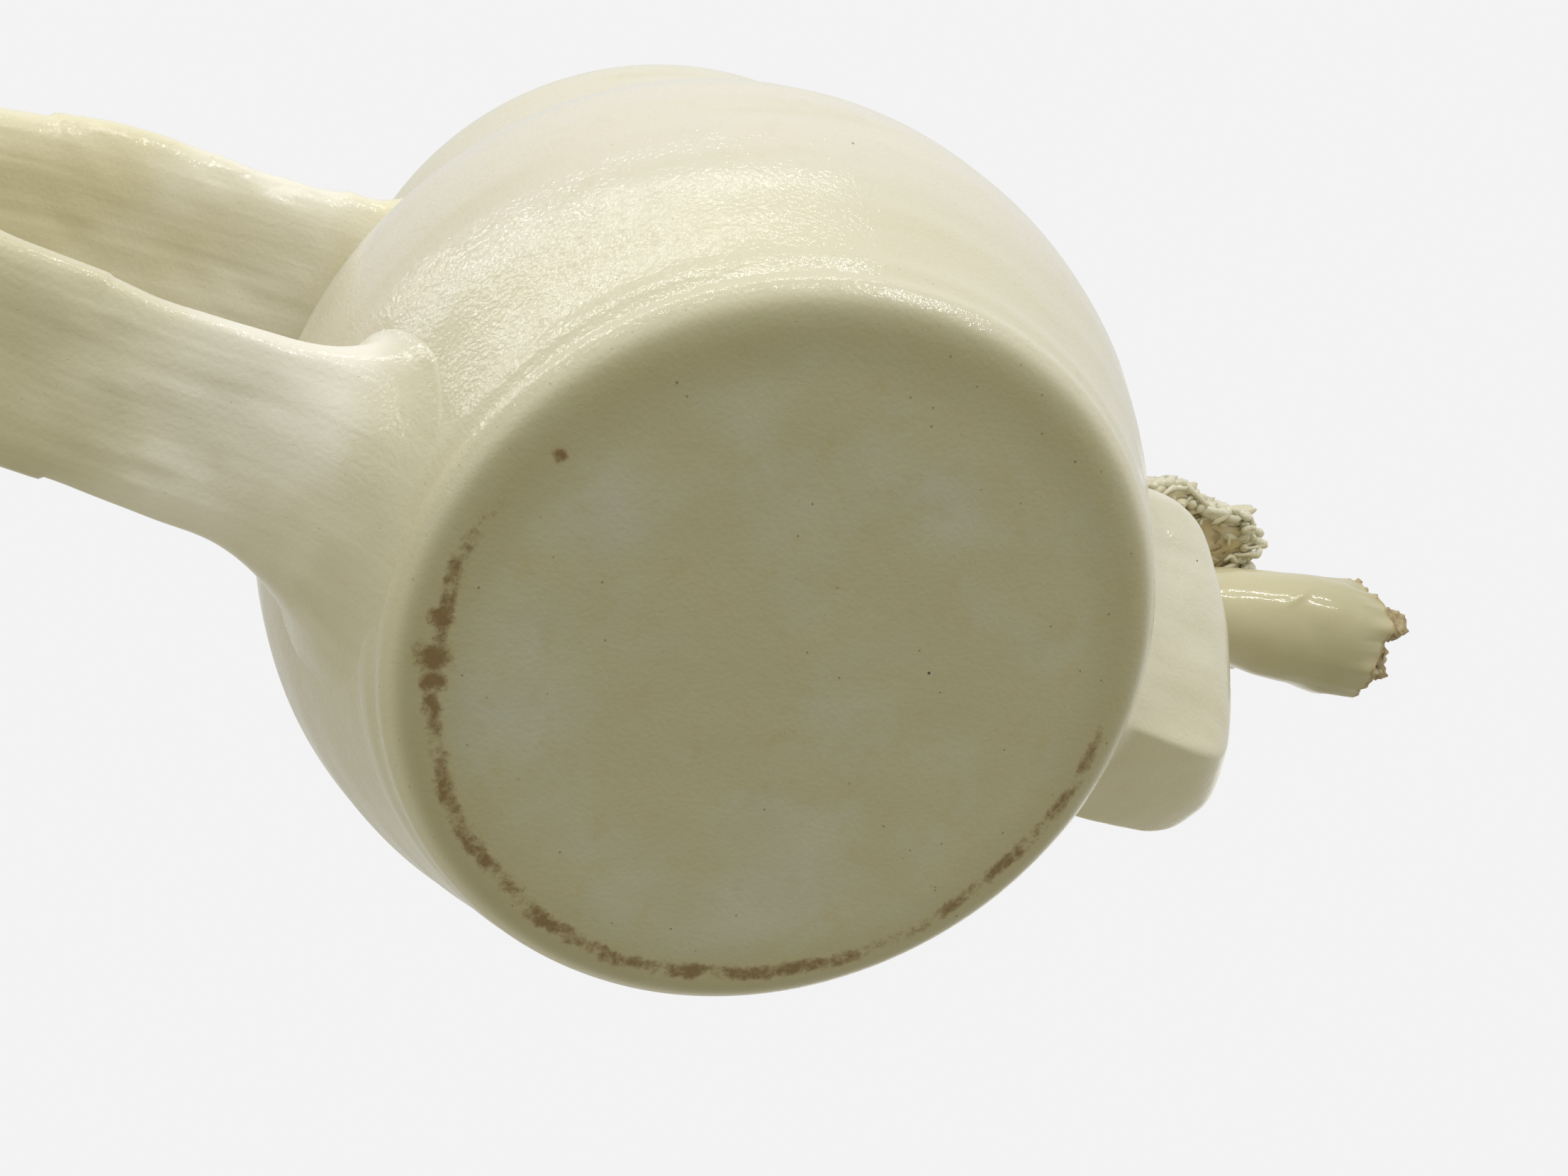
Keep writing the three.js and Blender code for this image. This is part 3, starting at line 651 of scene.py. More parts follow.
def lip_skin(form, face, upper):
    """A lip: a long low lump, which stands out less by the square of the distance from its middle.

    Its outline is a superellipse, bent towards the middle of the mouth by the square of that distance too.
    """
    thickness = face.lip_thickness / MM
    depth = face.lip_depth / MM * (1 if upper else 0.9)
    half_width = face.lip_width / MM / 2
    gap = face.roll_radius_root / MM - 1.5 + thickness / 2
    middle = face.mouth_height / MM + (gap if upper else -gap)
    x, y = circle(200, 2.3)
    bend = (-3.2 if upper else 3.2) * x**2
    grow = 1.35 if upper else 1.5
    outline = (half_width * 1.12 * x, grow * thickness / 2 * y + bend)

    def stand(x, y):
        return depth * (1 - 0.22 * (x / half_width) ** 2) + 0.2 * np.sin(0.45 * x + 1.0)

    return lump_skin(form, (-0.8, middle), outline, stand, 3.4, 2.0, (40, 30))


def nose_skin(form, face):
    """The nose: a ridge that widens to a round ball, with a wing at each side.

    Seen from the side, the ridge rises evenly from the brow and the ball is half an ellipse. The ridge's
    section is a flat-topped bell exp(-|x / w|^3), and w is largest at the ball. The wings are bells of the
    place on the face, and the nostrils are dents in the underside.
    """
    low = face.nose_base / MM
    half_height = face.nose_height / MM / 2
    depth = 0.86 * face.nose_depth / MM
    half_width = face.nose_width / MM / 2
    x, y = circle(220, 2.4)
    width = half_width * (0.78 + 0.6 * smoothstep(0.1, -0.75, y) - 0.12 * smoothstep(0.2, 1, y))

    def stand(across, up):
        height = up + half_height
        ball = np.sqrt(np.clip(1 - ((height - 5.6) / 6.8) ** 2, 0, 1))
        ridge = 0.24 + 0.3 * smoothstep(2.2 * half_height, 5.0, height)
        ridge = ridge * (0.7 + 0.3 * smoothstep(-1, 6.5, height)) + 0.42 * ball
        section = np.exp(-(np.abs(across / (4.4 + 2.4 * ball)) ** 3))
        wings = 0.27 * depth * (bell(across, 6.1, 2.9) + bell(across, -6.1, 2.9)) * bell(height, 4.4, 3.6)
        creases = 0.9 * (bell(across, 4.9, 0.9) + bell(across, -4.9, 0.9)) * bell(height, 5.6, 3.0)
        return depth * ridge * section + wings - creases + 2.2

    outline = (width * x, half_height * y)
    points, quads, triangles = lump_skin(form, (0, low + half_height), outline, stand, 4.5, 3.2, (60, 80))
    for side in (-1, 1):
        opening = form.on_face(side * 3.6, low + 0.4, 0.5 * depth)
        near = np.linalg.norm((points - opening) / (1.8, 3.0, 3.2), axis=1)
        points = points + 2.4 * UP * np.exp(-(near**2.6))[:, None]
    return points, quads, triangles


# The roll in the mouth


class RollForm:
    """The roll's axis, its radius along it, and rings about it, in millimetres."""

    def __init__(self, form, face):
        turn = face.roll_turn
        self.start = form.on_face(-face.roll_offset / MM, face.mouth_height / MM, -form.wall / 2)
        self.axis = np.array([-math.sin(turn), -math.cos(turn), 0])
        self.side = np.array([math.cos(turn), -math.sin(turn), 0])
        self.length = face.roll_reach / MM + form.wall / 2
        self.radius_root = face.roll_radius_root / MM
        self.radius_end = face.roll_radius_end / MM

    def radius(self, share):
        """It swells towards the end by the share to the power 1.15, with a slight wave."""
        swell = (self.radius_end - self.radius_root) * share**1.15
        return self.radius_root + swell + 0.28 * np.sin(9 * share)

    def outward(self, angle):
        """The direction away from the axis at an angle round it."""
        angle = np.asarray(angle)[..., None]
        return np.cos(angle) * self.side + np.sin(angle) * UP

    def place(self, along, radius, angle):
        """A point at a distance along the axis, a radius and an angle round it."""
        along, radius, angle = np.broadcast_arrays(along, radius, angle)
        return self.start + along[..., None] * self.axis + radius[..., None] * self.outward(angle)


def torn_edge(angle):
    """How far the torn edge runs past the mean end: waves that never line up, with a few notches."""
    waves = 0.5 * np.sin(2 * angle + 0.4) + 0.25 * np.sin(5 * angle) + 0.16 * np.sin(9 * angle + 1)
    ragged = 0.12 * np.sin(17 * angle + 2) + 0.08 * np.sin(29 * angle) + 0.06 * np.sin(47 * angle + 1)
    notches = 0.9 * np.abs(np.sin(1.5 * angle + 0.6)) ** 60 + 0.5 * np.abs(np.sin(3.5 * angle + 1.9)) ** 60
    return waves + ragged - notches


def wrapper_skin(roll):
    """The leaf: out along the roll, over its torn edge, and back inside to the filler.

    Towards the edge it draws in a little and crumples by waves of the angle, and its thickness falls to a
    ragged lip. A soft fold runs along it, and a short crease crosses it. With it comes a value for each
    point, which is 1 where the torn clay is bare.
    """
    angle = turns(240)
    share = np.linspace(0, 1, 170)[:, None] ** 0.85
    length = roll.length - ROLL_SHORTER + torn_edge(angle)
    along = share * length
    radius = roll.radius(np.minimum(along / roll.length, 1.0))
    near_end = smoothstep(0.86, 1, share)
    crumple = 0.3 * np.sin(5 * angle + 0.8) + 0.24 * np.sin(9 * angle + 2) + 0.16 * np.sin(17 * angle)
    radius = radius + near_end**2 * crumple - 0.5 * smoothstep(0.9, 1, share)
    sag = 0.75 * smoothstep(0.78, 1, share) - 0.5 * bell(share, 0.6, 0.14)
    radius = radius + sag * np.cos(angle + 0.44)
    outer = roll.place(along, radius, angle)
    hand = 0.13 * cloud(outer, 13, 41) + 0.025 * cloud(outer, 4.5, 42)
    fold = 0.3 * bell(np.mod(angle - 2.2 + 0.25 * np.sin(5 * share), TAU), 0.5, 0.06)
    slant = (along - 33.5) * 0.5 + (np.mod(angle, TAU) - 3.75) * 5
    crease = 0.16 * bell(slant, 0, 0.5) * bell(along, 33.5, 2.4) * bell(np.mod(angle, TAU), 3.75, 0.35)
    radius = radius + (hand - fold + crease) * smoothstep(0.05, 0.3, share)
    outer = roll.place(along, radius, angle)
    inward = np.linspace(0, 1, 26)[:, None]
    lip_radius = radius[-1:]
    inner_along = (length - 0.25)[None] * (1 - inward) + (roll.length - 10) * inward
    inner = roll.place(inner_along, inner_radius(roll, lip_radius, inward), angle)
    rim = roll.place((length + 0.12)[None], lip_radius - 0.28, angle)
    leaf_torn = (smoothstep(0.975, 1, share) + 0 * angle).ravel()
    torn = np.concatenate([leaf_torn, np.ones(rim.size // 3 + inner.size // 3), [0, 1]])
    return skin(np.concatenate([outer, rim, inner])), torn


# How far the leaf's mean end stops short of the roll's full length, in millimetres
ROLL_SHORTER = 2.3


def inner_radius(roll, lip_radius, inward):
    """The leaf's inner radius: it follows the lip at the edge and the plain bore further in."""
    thickness = 0.6 + 0.8 * smoothstep(0, 0.5, inward)
    bore = roll.radius(1.0) - 1.5
    return (lip_radius - thickness) * (1 - smoothstep(0, 0.6, inward)) + bore * smoothstep(0, 0.6, inward)


def filler_skins(roll):
    """The crumbled inside: a rough plug, flakes of leaf standing in it, and broken pieces that stick out."""
    draw = np.random.default_rng(7)
    bore = roll.radius(1.0) - 2.2
    angle = turns(90)
    share = np.linspace(0, 1, 30)[:, None]
    plug_along = roll.length - 10.4 + 6.4 * smoothstep(0, 0.35, share) + 0 * angle
    plug_radius = bore * np.where(share < 0.35, 0.8 + 0.2 * share / 0.35, 1 - (share - 0.35) / 0.66)
    plug = roll.place(plug_along, plug_radius, angle)
    rough = 0.7 * cloud(plug, 2.6, 51) + 0.4 * cloud(plug, 1.2, 52)
    plug = plug + roll.axis * (rough * smoothstep(0.3, 0.45, share))[..., None]
    skins = [skin(plug)]
    for _ in range(20):
        reach, turn, proud = draw.uniform(0.15, 0.9), draw.uniform(0, TAU), draw.uniform(-3.4, -1.4)
        skins.append(flake(roll, draw, bore * reach, turn, proud))
    for at in np.linspace(0, TAU, 13)[:-1]:
        turn = at + draw.uniform(-0.2, 0.2)
        reach, proud = draw.uniform(0.95, 1.08), draw.uniform(-2.0, -0.9)
        skins.append(flake(roll, draw, bore * reach, turn, proud, 2.0, 3.2))
    for reach, turn, proud, wide, deep, seed in NUGGETS:
        skins.append(nugget(roll, reach * bore, turn, proud, wide, deep, seed))
    return skins


# Broken pieces at the torn end: share of the bore, angle, how proud, half width, half depth, and seed
NUGGETS = [
    (0.8, 3.92, 2.3, 1.9, 1.35, 71),
    (0.62, 3.5, -0.3, 1.6, 1.2, 72),
    (0.84, 4.75, -0.4, 1.5, 1.1, 73),
    (0.92, 5.15, 0.5, 1.0, 1.3, 74),
    (0.9, 5.6, -0.8, 1.5, 1.0, 75),
    (0.5, 4.5, -1.0, 2.2, 1.5, 76),
    (0.55, 0.9, -1.0, 2.0, 1.5, 77),
    (0.6, 2.2, -0.7, 1.8, 1.4, 78),
]


def nugget(roll, radius, angle, proud, wide, deep, seed):
    """A broken piece: a squarish section carried along the roll, roughened by three sizes of noise."""
    along = np.linspace(0, 1, 36)
    rooted = 5.0
    start = roll.place(roll.length - rooted, radius, angle)
    outward = roll.outward(angle)
    path = start + along[:, None] * (rooted + proud) * roll.axis + 0.5 * (along[:, None] ** 2) * outward
    x, y = circle(40, 5)
    close = np.clip(1 - along**16, 0.04, 1)[:, None] ** 0.5 * (0.9 + 0.1 * np.sin(9 * along[:, None] + seed))
    section = np.stack([deep * x * close, wide * y * close], axis=-1)
    rows = tube(path, section, outward)
    spread = rows - path[:, None]
    spread = spread / np.maximum(np.linalg.norm(spread, axis=-1), 0.05)[..., None]
    rough = 0.2 * cloud(rows, 1.8, seed) + 0.12 * cloud(rows, 0.7, seed + 20)
    ragged = 0.3 * cloud(rows, 1.1, seed + 40) * smoothstep(0.7, 1, along)[:, None]
    return skin(rows + spread * (rough * close)[..., None] + ragged[..., None] * roll.axis)


def flake(roll, draw, radius, angle, proud, width=None, length=None):
    """A curled flake: a thin flat section carried along an arc, which bends over at its free end."""
    width = width or draw.uniform(1.2, 2.8)
    length = length or draw.uniform(2.4, 4.6)
    start = roll.place(roll.length + proud - length, radius, angle)
    curl = draw.uniform(0.5, 1.5) * draw.choice([-1, 1])
    t = np.linspace(0, 1, 14)
    outward = roll.outward(angle)
    around = np.cross(roll.axis, outward)
    bent = np.sin(curl * t) / curl
    lifted = (1 - np.cos(curl * t)) / curl
    path = start + length * (bent[:, None] * roll.axis + lifted[:, None] * outward)
    x, y = circle(16, 2.6)
    taper = (0.75 + 0.3 * np.sin(TAU * t * draw.uniform(0.4, 1.2) + draw.uniform(0, TAU)))[:, None]
    cup = 0.5 * draw.uniform(0.3, 1.0) * x**2
    section = np.stack([width / 2 * x * taper, (0.32 * y + cup * width / 3) + 0 * taper], axis=-1)
    return skin(tube(path, section, around + 0.2 * draw.normal(size=3)))


# The moustache


class MoustacheForm:
    """The plan of the moustache and the heights that it hangs between, in millimetres."""

    def __init__(self, face):
        self.depth = face.moustache_depth / MM - 1.6
        self.half_width = face.moustache_width / MM / 2 + 0.7
        self.top = face.nose_base / MM - 0.3
        self.bottom = (face.mouth_height + face.roll_radius_root) / MM + 1.2
        self.roll_offset = face.roll_offset / MM

    def edge(self, share, reach):
        """Across and out at a share of the way from the middle to the corner of a rounded square.

        They are powers of the sine and cosine of an angle, with lobes as waves of the share.
        """
        angle = share * math.radians(85) + math.radians(4.4) * smoothstep(0.85, 1, share)
        corner = 1 - 0.17 * smoothstep(0.8, 1.0, share)
        lobes = 1 + 0.035 * np.sin(15 * share + 0.6) + 0.02 * np.sin(31 * share + 2)
        lobes = lobes + 0.05 * bell(share, 0.62, 0.2)
        across = self.half_width * corner * lobes * reach * np.sin(angle) ** 0.52
        return across, self.depth * lobes * reach * np.cos(angle) ** 0.5 - 1.6 * np.sin(angle) ** 2

    def height(self, level):
        """Level 0 is under the nose and level 1 is the pad's lower edge."""
        return self.top + (self.bottom - self.top) * level


def moustache_pad(form, plan, side):
    """The pad of one half: rings of the plan that go up round the outside and close above and below.

    Each ring runs along the plan's edge at its own reach and comes back against the pot. The outside is
    lumpy, as clay is where strands have run together. Over the roll the pad reaches down to it. The value
    kept for each point is high underneath, where glaze pools and where shade is painted in.
    """
    front = np.linspace(0, 1, 120)
    share = np.concatenate([front, np.linspace(1, 0, 26)[1:-1]])
    is_front = np.arange(len(share)) < len(front)
    rows, recess_shade = [], []
    for level, reach, pooled_and_shade in catmull_rom(PAD_RINGS, 8):
        flat_across, flat_out = plan.edge(share, reach)
        middle = smoothstep(6.4, 2.6, np.abs(side * flat_across + plan.roll_offset)) * is_front
        middle = middle * smoothstep(0.4, 0.72, level)
        place = np.stack([flat_across, flat_out, plan.height(level) + 0 * flat_across], axis=-1)
        lumps = 0.04 * cloud(place, 2.8, 31) + 0.02 * cloud(place, 1.4, 32)
        lumps = 1 + lumps * smoothstep(0.5, 0.8, reach)
        across, out = plan.edge(share, reach * lumps * (1 - 0.03 * middle))
        out = np.where(is_front, out, -2.0)
        rows.append(form.on_face(side * across, plan.height(level + 0.42 * middle), out))
        recess_shade.append(np.full(len(share), pooled_and_shade))
    recess_shade.append([PAD_RINGS[0][2], PAD_RINGS[-1][2]])
    return skin(np.array(rows)), np.concatenate(recess_shade)


# Rings of the pad, from underneath round to the top: level, reach, and how dark pooling glaze and
# painted shade make it there
PAD_RINGS = [
    (0.86, 0.15, 0.9),
    (0.86, 0.4, 1.0),
    (0.84, 0.6, 1.0),
    (0.78, 0.76, 0.95),
    (0.74, 0.88, 0.8),
    (0.68, 0.95, 0.35),
    (0.5, 0.985, 0.2),
    (0.32, 0.96, 0.2),
    (0.2, 0.88, 0.2),
    (0.12, 0.7, 0.2),
    (0.09, 0.4, 0.2),
]


def moustache_strand(form, plan, side, share, layer, draw):
    """One strand: out from under the nose, over the edge, down, and away in a tangle of its own.

    A strand near the middle hangs straight. Further out it wriggles more: its last points are drawn about
    the edge of the pad, a little along it, in from it and up or down. It swells and thins along its length,
    and about half of the strands sink into the pad at their end. With the rows comes a value for how deep
    in the pile they lie, which darkens them as pooling glaze and painted shade.
    """
    loose = float(smoothstep(0.08, 0.35, share))
    sway = draw.normal(0, 0.01 + 0.012 * loose)
    lean = 0.02 + 0.05 * share

    def point(reach, level, shift, drop=0.0):
        along = float(np.clip(share + shift, 0.02, 0.985))
        across, out = plan.edge(along, reach * layer)
        place = form.on_face(side * np.maximum(across, 0.35), plan.height(level) - drop, out)
        return np.append(place, reach * layer)

    path = [
        point(0.6, 0.06, -0.03),
        point(0.84, 0.14, -0.01 + 0.4 * sway),
        point(0.965, 0.3 + 0.5 * sway, 0.3 * lean + 0.6 * sway),
        point(0.985, 0.48, 0.6 * lean + sway),
    ]
    level = draw.uniform(0.52, 0.7)
    shift, drop, reach = lean + 1.2 * sway, 0.0, 0.985
    for _ in range(int(draw.integers(3, 6))):
        path.append(point(reach, level, shift, drop))
        shift = float(np.clip(shift + draw.normal(0, 0.01 + 0.018 * loose), lean - 0.05, lean + 0.05))
        drop = float(np.clip(drop + draw.normal(0.1, 0.4 + 0.3 * loose), -1.0, 1.1))
        reach = float(np.clip(reach + draw.normal(-0.006, 0.012 + 0.016 * loose), 0.9, 1.0))
    tucked = draw.uniform() < 0.55
    path.append(point(0.9 if tucked else reach + 0.01, level + 0.08, shift, drop))
    path = catmull_rom(path, 5)
    place, reach = path[:, :3], path[:, 3]
    ease = np.linspace(0, 1, len(path))
    waves = ease[:, None] * draw.uniform(8, 19, 3) + draw.uniform(0, TAU, 3)
    wriggle = (0.05 + 0.18 * loose) * np.sin(waves) * np.linspace(0.2, 1.3, len(path))[:, None]
    width = draw.uniform(0.36, 0.6) * (1 + 0.25 * np.sin(ease * draw.uniform(9, 17) + draw.uniform(0, TAU)))
    if tucked:
        width = width * (1 - 0.4 * smoothstep(0.8, 1, ease))
    rows = thread(place + wriggle, width, (0.2, 0.3, 1))
    # Deeper in the pile a strand is darker: pooling glaze and painted shade
    recess_shade = 0.3 * smoothstep(0.97, 0.9, reach)
    return rows, recess_shade[:, None] + 0 * rows[..., 0]


# Layers of strands, inner ones first: share of the pad's reach, count, and how far round the edge they go
STRAND_LAYERS = [(0.93, 30, 1), (0.955, 36, 1), (0.98, 42, 1), (1.0, 40, 1), (0.985, 20, 0.17)]


def moustache_skins(form, face, side):
    """The pad and its layers of strands, with a value for each point that says how deep in the pile it is."""
    plan = MoustacheForm(face)
    draw = np.random.default_rng(97 if side > 0 else 98)
    pad, pooled_and_shade = moustache_pad(form, plan, side)
    skins, recess_shade = [pad], [pooled_and_shade]
    for layer, count, end in STRAND_LAYERS:
        for i in range(count):
            share = (i + 0.5 + draw.uniform(-0.45, 0.45)) / count * end
            rows, deep = moustache_strand(form, plan, side, share, layer, draw)
            skins.append(skin(rows))
            recess_shade.append(np.append(deep.ravel(), [deep.mean(), deep.mean()]))
    return skins, recess_shade


# The eyes and brows


def eye_centre(form, face, side):
    """The middle of the ball, a little inside the pot's surface."""
    return form.on_face(side * face.eye_spacing / MM / 2, face.eye_height / MM, -1.2)


def eye_axes(form, face, side):
    """The directions out, across and up at an eye."""
    centre = eye_centre(form, face, side)
    out = unit(np.array([centre[0], centre[1] - form.lean_at(centre[2]), 0]))
    return out, np.cross(out, UP), UP


def eyeball_skin(form, face, side):
    """A ball with a shallow round pupil in a faint ring.

    The pupil is cut by a smooth step of the angle from the front, and the ring by a bell of it.
    """
    out, across, up = eye_axes(form, face, side)
    tilt = np.linspace(0.001, math.pi - 0.001, 90)[:, None]
    turn = turns(96)
    radius = face.eye_radius / MM
    radius = radius - 0.5 * (1 - smoothstep(0.12, 0.24, tilt)) - 0.16 * bell(tilt, 0.42, 0.035) + 0 * turn
    ring = np.sin(tilt)[..., None] * (np.cos(turn)[..., None] * across + np.sin(turn)[..., None] * up)
    return skin(eye_centre(form, face, side) + radius[..., None] * (np.cos(tilt)[..., None] * out + ring))


def eyelid_skin(form, face, side, upper):
    """A lid: a band over the ball with a rounded rim, whose ends and upper or lower edge lie in the pot.

    `sweep` is the angle from corner to corner and `climb` runs from the rim to the pot. The lid follows a
    ball of the lid's thickness more, with a bead at the rim and a faint fold along its middle.
    """
    out, across, up = eye_axes(form, face, side)
    sign = 1 if upper else -1
    centre = eye_centre(form, face, side)
    ball = face.eye_radius / MM
    thick = face.lid_thickness / MM
    edge = math.radians(14 if upper else 24)
    sweep = np.linspace(-1.7, 1.7, 130)[None, :]
    rim = edge * np.cos(np.clip(sweep * 1.05, -1.5, 1.5)) ** 0.8
    climb = np.linspace(0, 1, 40)[:, None]
    level = sign * (rim + climb * (1.45 - rim))
    forward = np.cos(sweep)[..., None] * out + np.sin(sweep)[..., None] * across
    direction = np.cos(level)[..., None] * forward + np.sin(level)[..., None] * up
    fold = 0.12 * bell(climb, 0.55, 0.12)
    bead = 0.5 * bell(climb, 0.0, 0.18)
    outer = centre + (ball + 0.3 + thick - fold + bead)[..., None] * direction
    inner = centre + (ball + 0.25) * direction
    middle = (outer[0] + inner[0]) / 2
    half = (outer[0] - inner[0]) / 2
    bend = np.linspace(0, math.pi, 7)[1:-1, None, None]
    drop = 0.75 * sign * np.linalg.norm(half, axis=-1)[:, None] * up
    rows = np.concatenate([inner[::-1], middle - half * np.cos(bend) - drop * np.sin(bend), outer])
    return skin(np.swapaxes(rows, 0, 1))


def brow_skins(form, face, side):
    """A brow: a low pad, arched by a sine, with short strands that slant outwards and upwards over it."""
    draw = np.random.default_rng(11 if side > 0 else 12)
    start = face.brow_start / MM
    length = face.brow_length / MM
    thickness = face.brow_thickness / MM
    brow_height = face.brow_height / MM
    count = 34

    def line(share, lift, out):
        arch = 2.6 * (np.sin(math.pi * (0.25 + 0.62 * share)) - 0.6)
        return form.on_face(side * (start + share * length), brow_height + lift + arch, out)

    share = np.linspace(0, 1, 40)
    fullness = np.sqrt(np.clip(1 - (2 * share - 0.95) ** 2, 0.05, 1))[:, None, None]
    section = np.stack(circle(24), axis=1)[None] * 0.5 * thickness * fullness
    skins = [skin(tube(line(share, 0, 0.15 * thickness), section, UP))]
    for i in range(count):
        at = (i + draw.uniform(0.2, 0.8)) / count * 0.9 - 0.02
        rise = draw.uniform(-0.5, 0.5)
        k = np.array([-1, -0.4, 0.3, 1])
        body = math.sqrt(max(0.15, 1 - (2 * at - 0.9) ** 2))
        out = thickness * body * (0.5 - 0.16 * k**2)
        path = catmull_rom(line(at + 0.07 * (k + 1), 1.5 * k * body + rise, out), 5)
        skins.append(skin(thread(path, draw.uniform(0.5, 0.68), UP)))
    return skins


# Materials


class Shading:
    """The nodes of a material or a world, built up step by step from the place of each point."""

    def __init__(self, owner, coordinates="Object", empty=False):
        owner.use_nodes = True
        self.tree = owner.node_tree
        if empty:
            self.tree.nodes.clear()
        self.place = self.add("ShaderNodeTexCoord").outputs[coordinates]
        self.x, self.y, self.z = self.add("ShaderNodeSeparateXYZ", {"Vector": self.place}).outputs

    def feed(self, node, inputs):
        """Link each input to its socket, or set it to its value."""
        for key, value in inputs.items():
            if isinstance(value, bpy.types.NodeSocket):
                self.tree.links.new(value, node.inputs[key])
            else:
                node.inputs[key].default_value = value

    def add(self, kind, inputs=None, **settings):
        """A new node with its settings and inputs."""
        node = self.tree.nodes.new(kind)
        for key, value in settings.items():
            setattr(node, key, value)
        self.feed(node, inputs or {})
        return node

    def maths(self, operation, a, b=0.0):
        """One operation on one or two values."""
        return self.add("ShaderNodeMath", {0: a, 1: b}, operation=operation).outputs[0]

    def times(self, first, *others):
        """The product of the values."""
        for other in others:
            first = self.maths("MULTIPLY", first, other)
        return first

    def plus(self, first, *others):
        """The sum of the values."""
        for other in others:
            first = self.maths("ADD", first, other)
        return first

    def minus(self, a, b):
        """The first value less the second."""
        return self.maths("SUBTRACT", a, b)

    def ramp(self, value, low, high, to_low=0.0, to_high=1.0):
        """A smooth step of a value from one range to another."""
        inputs = {"Value": value, "From Min": low, "From Max": high, "To Min": to_low, "To Max": to_high}
        return self.add("ShaderNodeMapRange", inputs, interpolation_type="SMOOTHSTEP").outputs["Result"]

    def mix(self, factor, a, b):
        """Colour a passing over to colour b by the factor. Each is a socket or three numbers."""
        a, b = (c if isinstance(c, bpy.types.NodeSocket) else (*c, 1) for c in (a, b))
        return self.add("ShaderNodeMix", {0: factor, 6: a, 7: b}, data_type="RGBA").outputs[2]

    def noise(self, size, detail=2.0, roughness=0.5, distortion=0.0, stretch=None):
        """Noise whose main features are about `size` metres across, longer where the stretch is under 1."""
        inputs = {"Vector": self.place, "Scale": 1 / size, "Detail": detail}
        inputs.update({"Roughness": roughness, "Distortion": distortion})
        if stretch:
            mapping = self.add("ShaderNodeMapping", {"Vector": self.place, "Scale": stretch})
            inputs["Vector"] = mapping.outputs[0]
        return self.add("ShaderNodeTexNoise", inputs).outputs["Fac"]

    def dots(self, cell, radius, share):
        """Round dots: near the middle of a cell, in a share of the cells that its own colour picks."""
        inputs = {"Vector": self.place, "Scale": 1 / cell, "Randomness": 1.0}
        cells = self.add("ShaderNodeTexVoronoi", inputs).outputs
        reach = self.ramp(cells["Distance"], radius / cell, 0.45 * radius / cell)
        picked = self.add("ShaderNodeSeparateColor", {"Color": cells["Color"]}).outputs["Red"]
        return self.times(reach, self.ramp(picked, share, share - 0.02))

    def distance(self, place):
        """How far a place is from the origin."""
        return self.add("ShaderNodeVectorMath", {0: place}, operation="LENGTH").outputs["Value"]

    def spot(self, flat, x, y, radius, soft):
        """A round spot, from 0 at its radius to 1 at a soft share of it, in millimetres on the underside."""
        inputs = {"Vector": flat, "Location": (x * MM, y * MM, 0)}
        about = self.add("ShaderNodeMapping", inputs, vector_type="TEXTURE").outputs[0]
        return self.ramp(self.distance(about), radius * MM, radius * soft * MM)

    def kept(self, name):
        """A value that the mesh keeps for each point."""
        return self.add("ShaderNodeAttribute", attribute_name=name).outputs["Fac"]

    def bump(self, height, strength, distance):
        """The surface's direction, tilted by a height."""
        inputs = {"Height": height, "Strength": strength, "Distance": distance}
        return self.add("ShaderNodeBump", inputs).outputs[0]


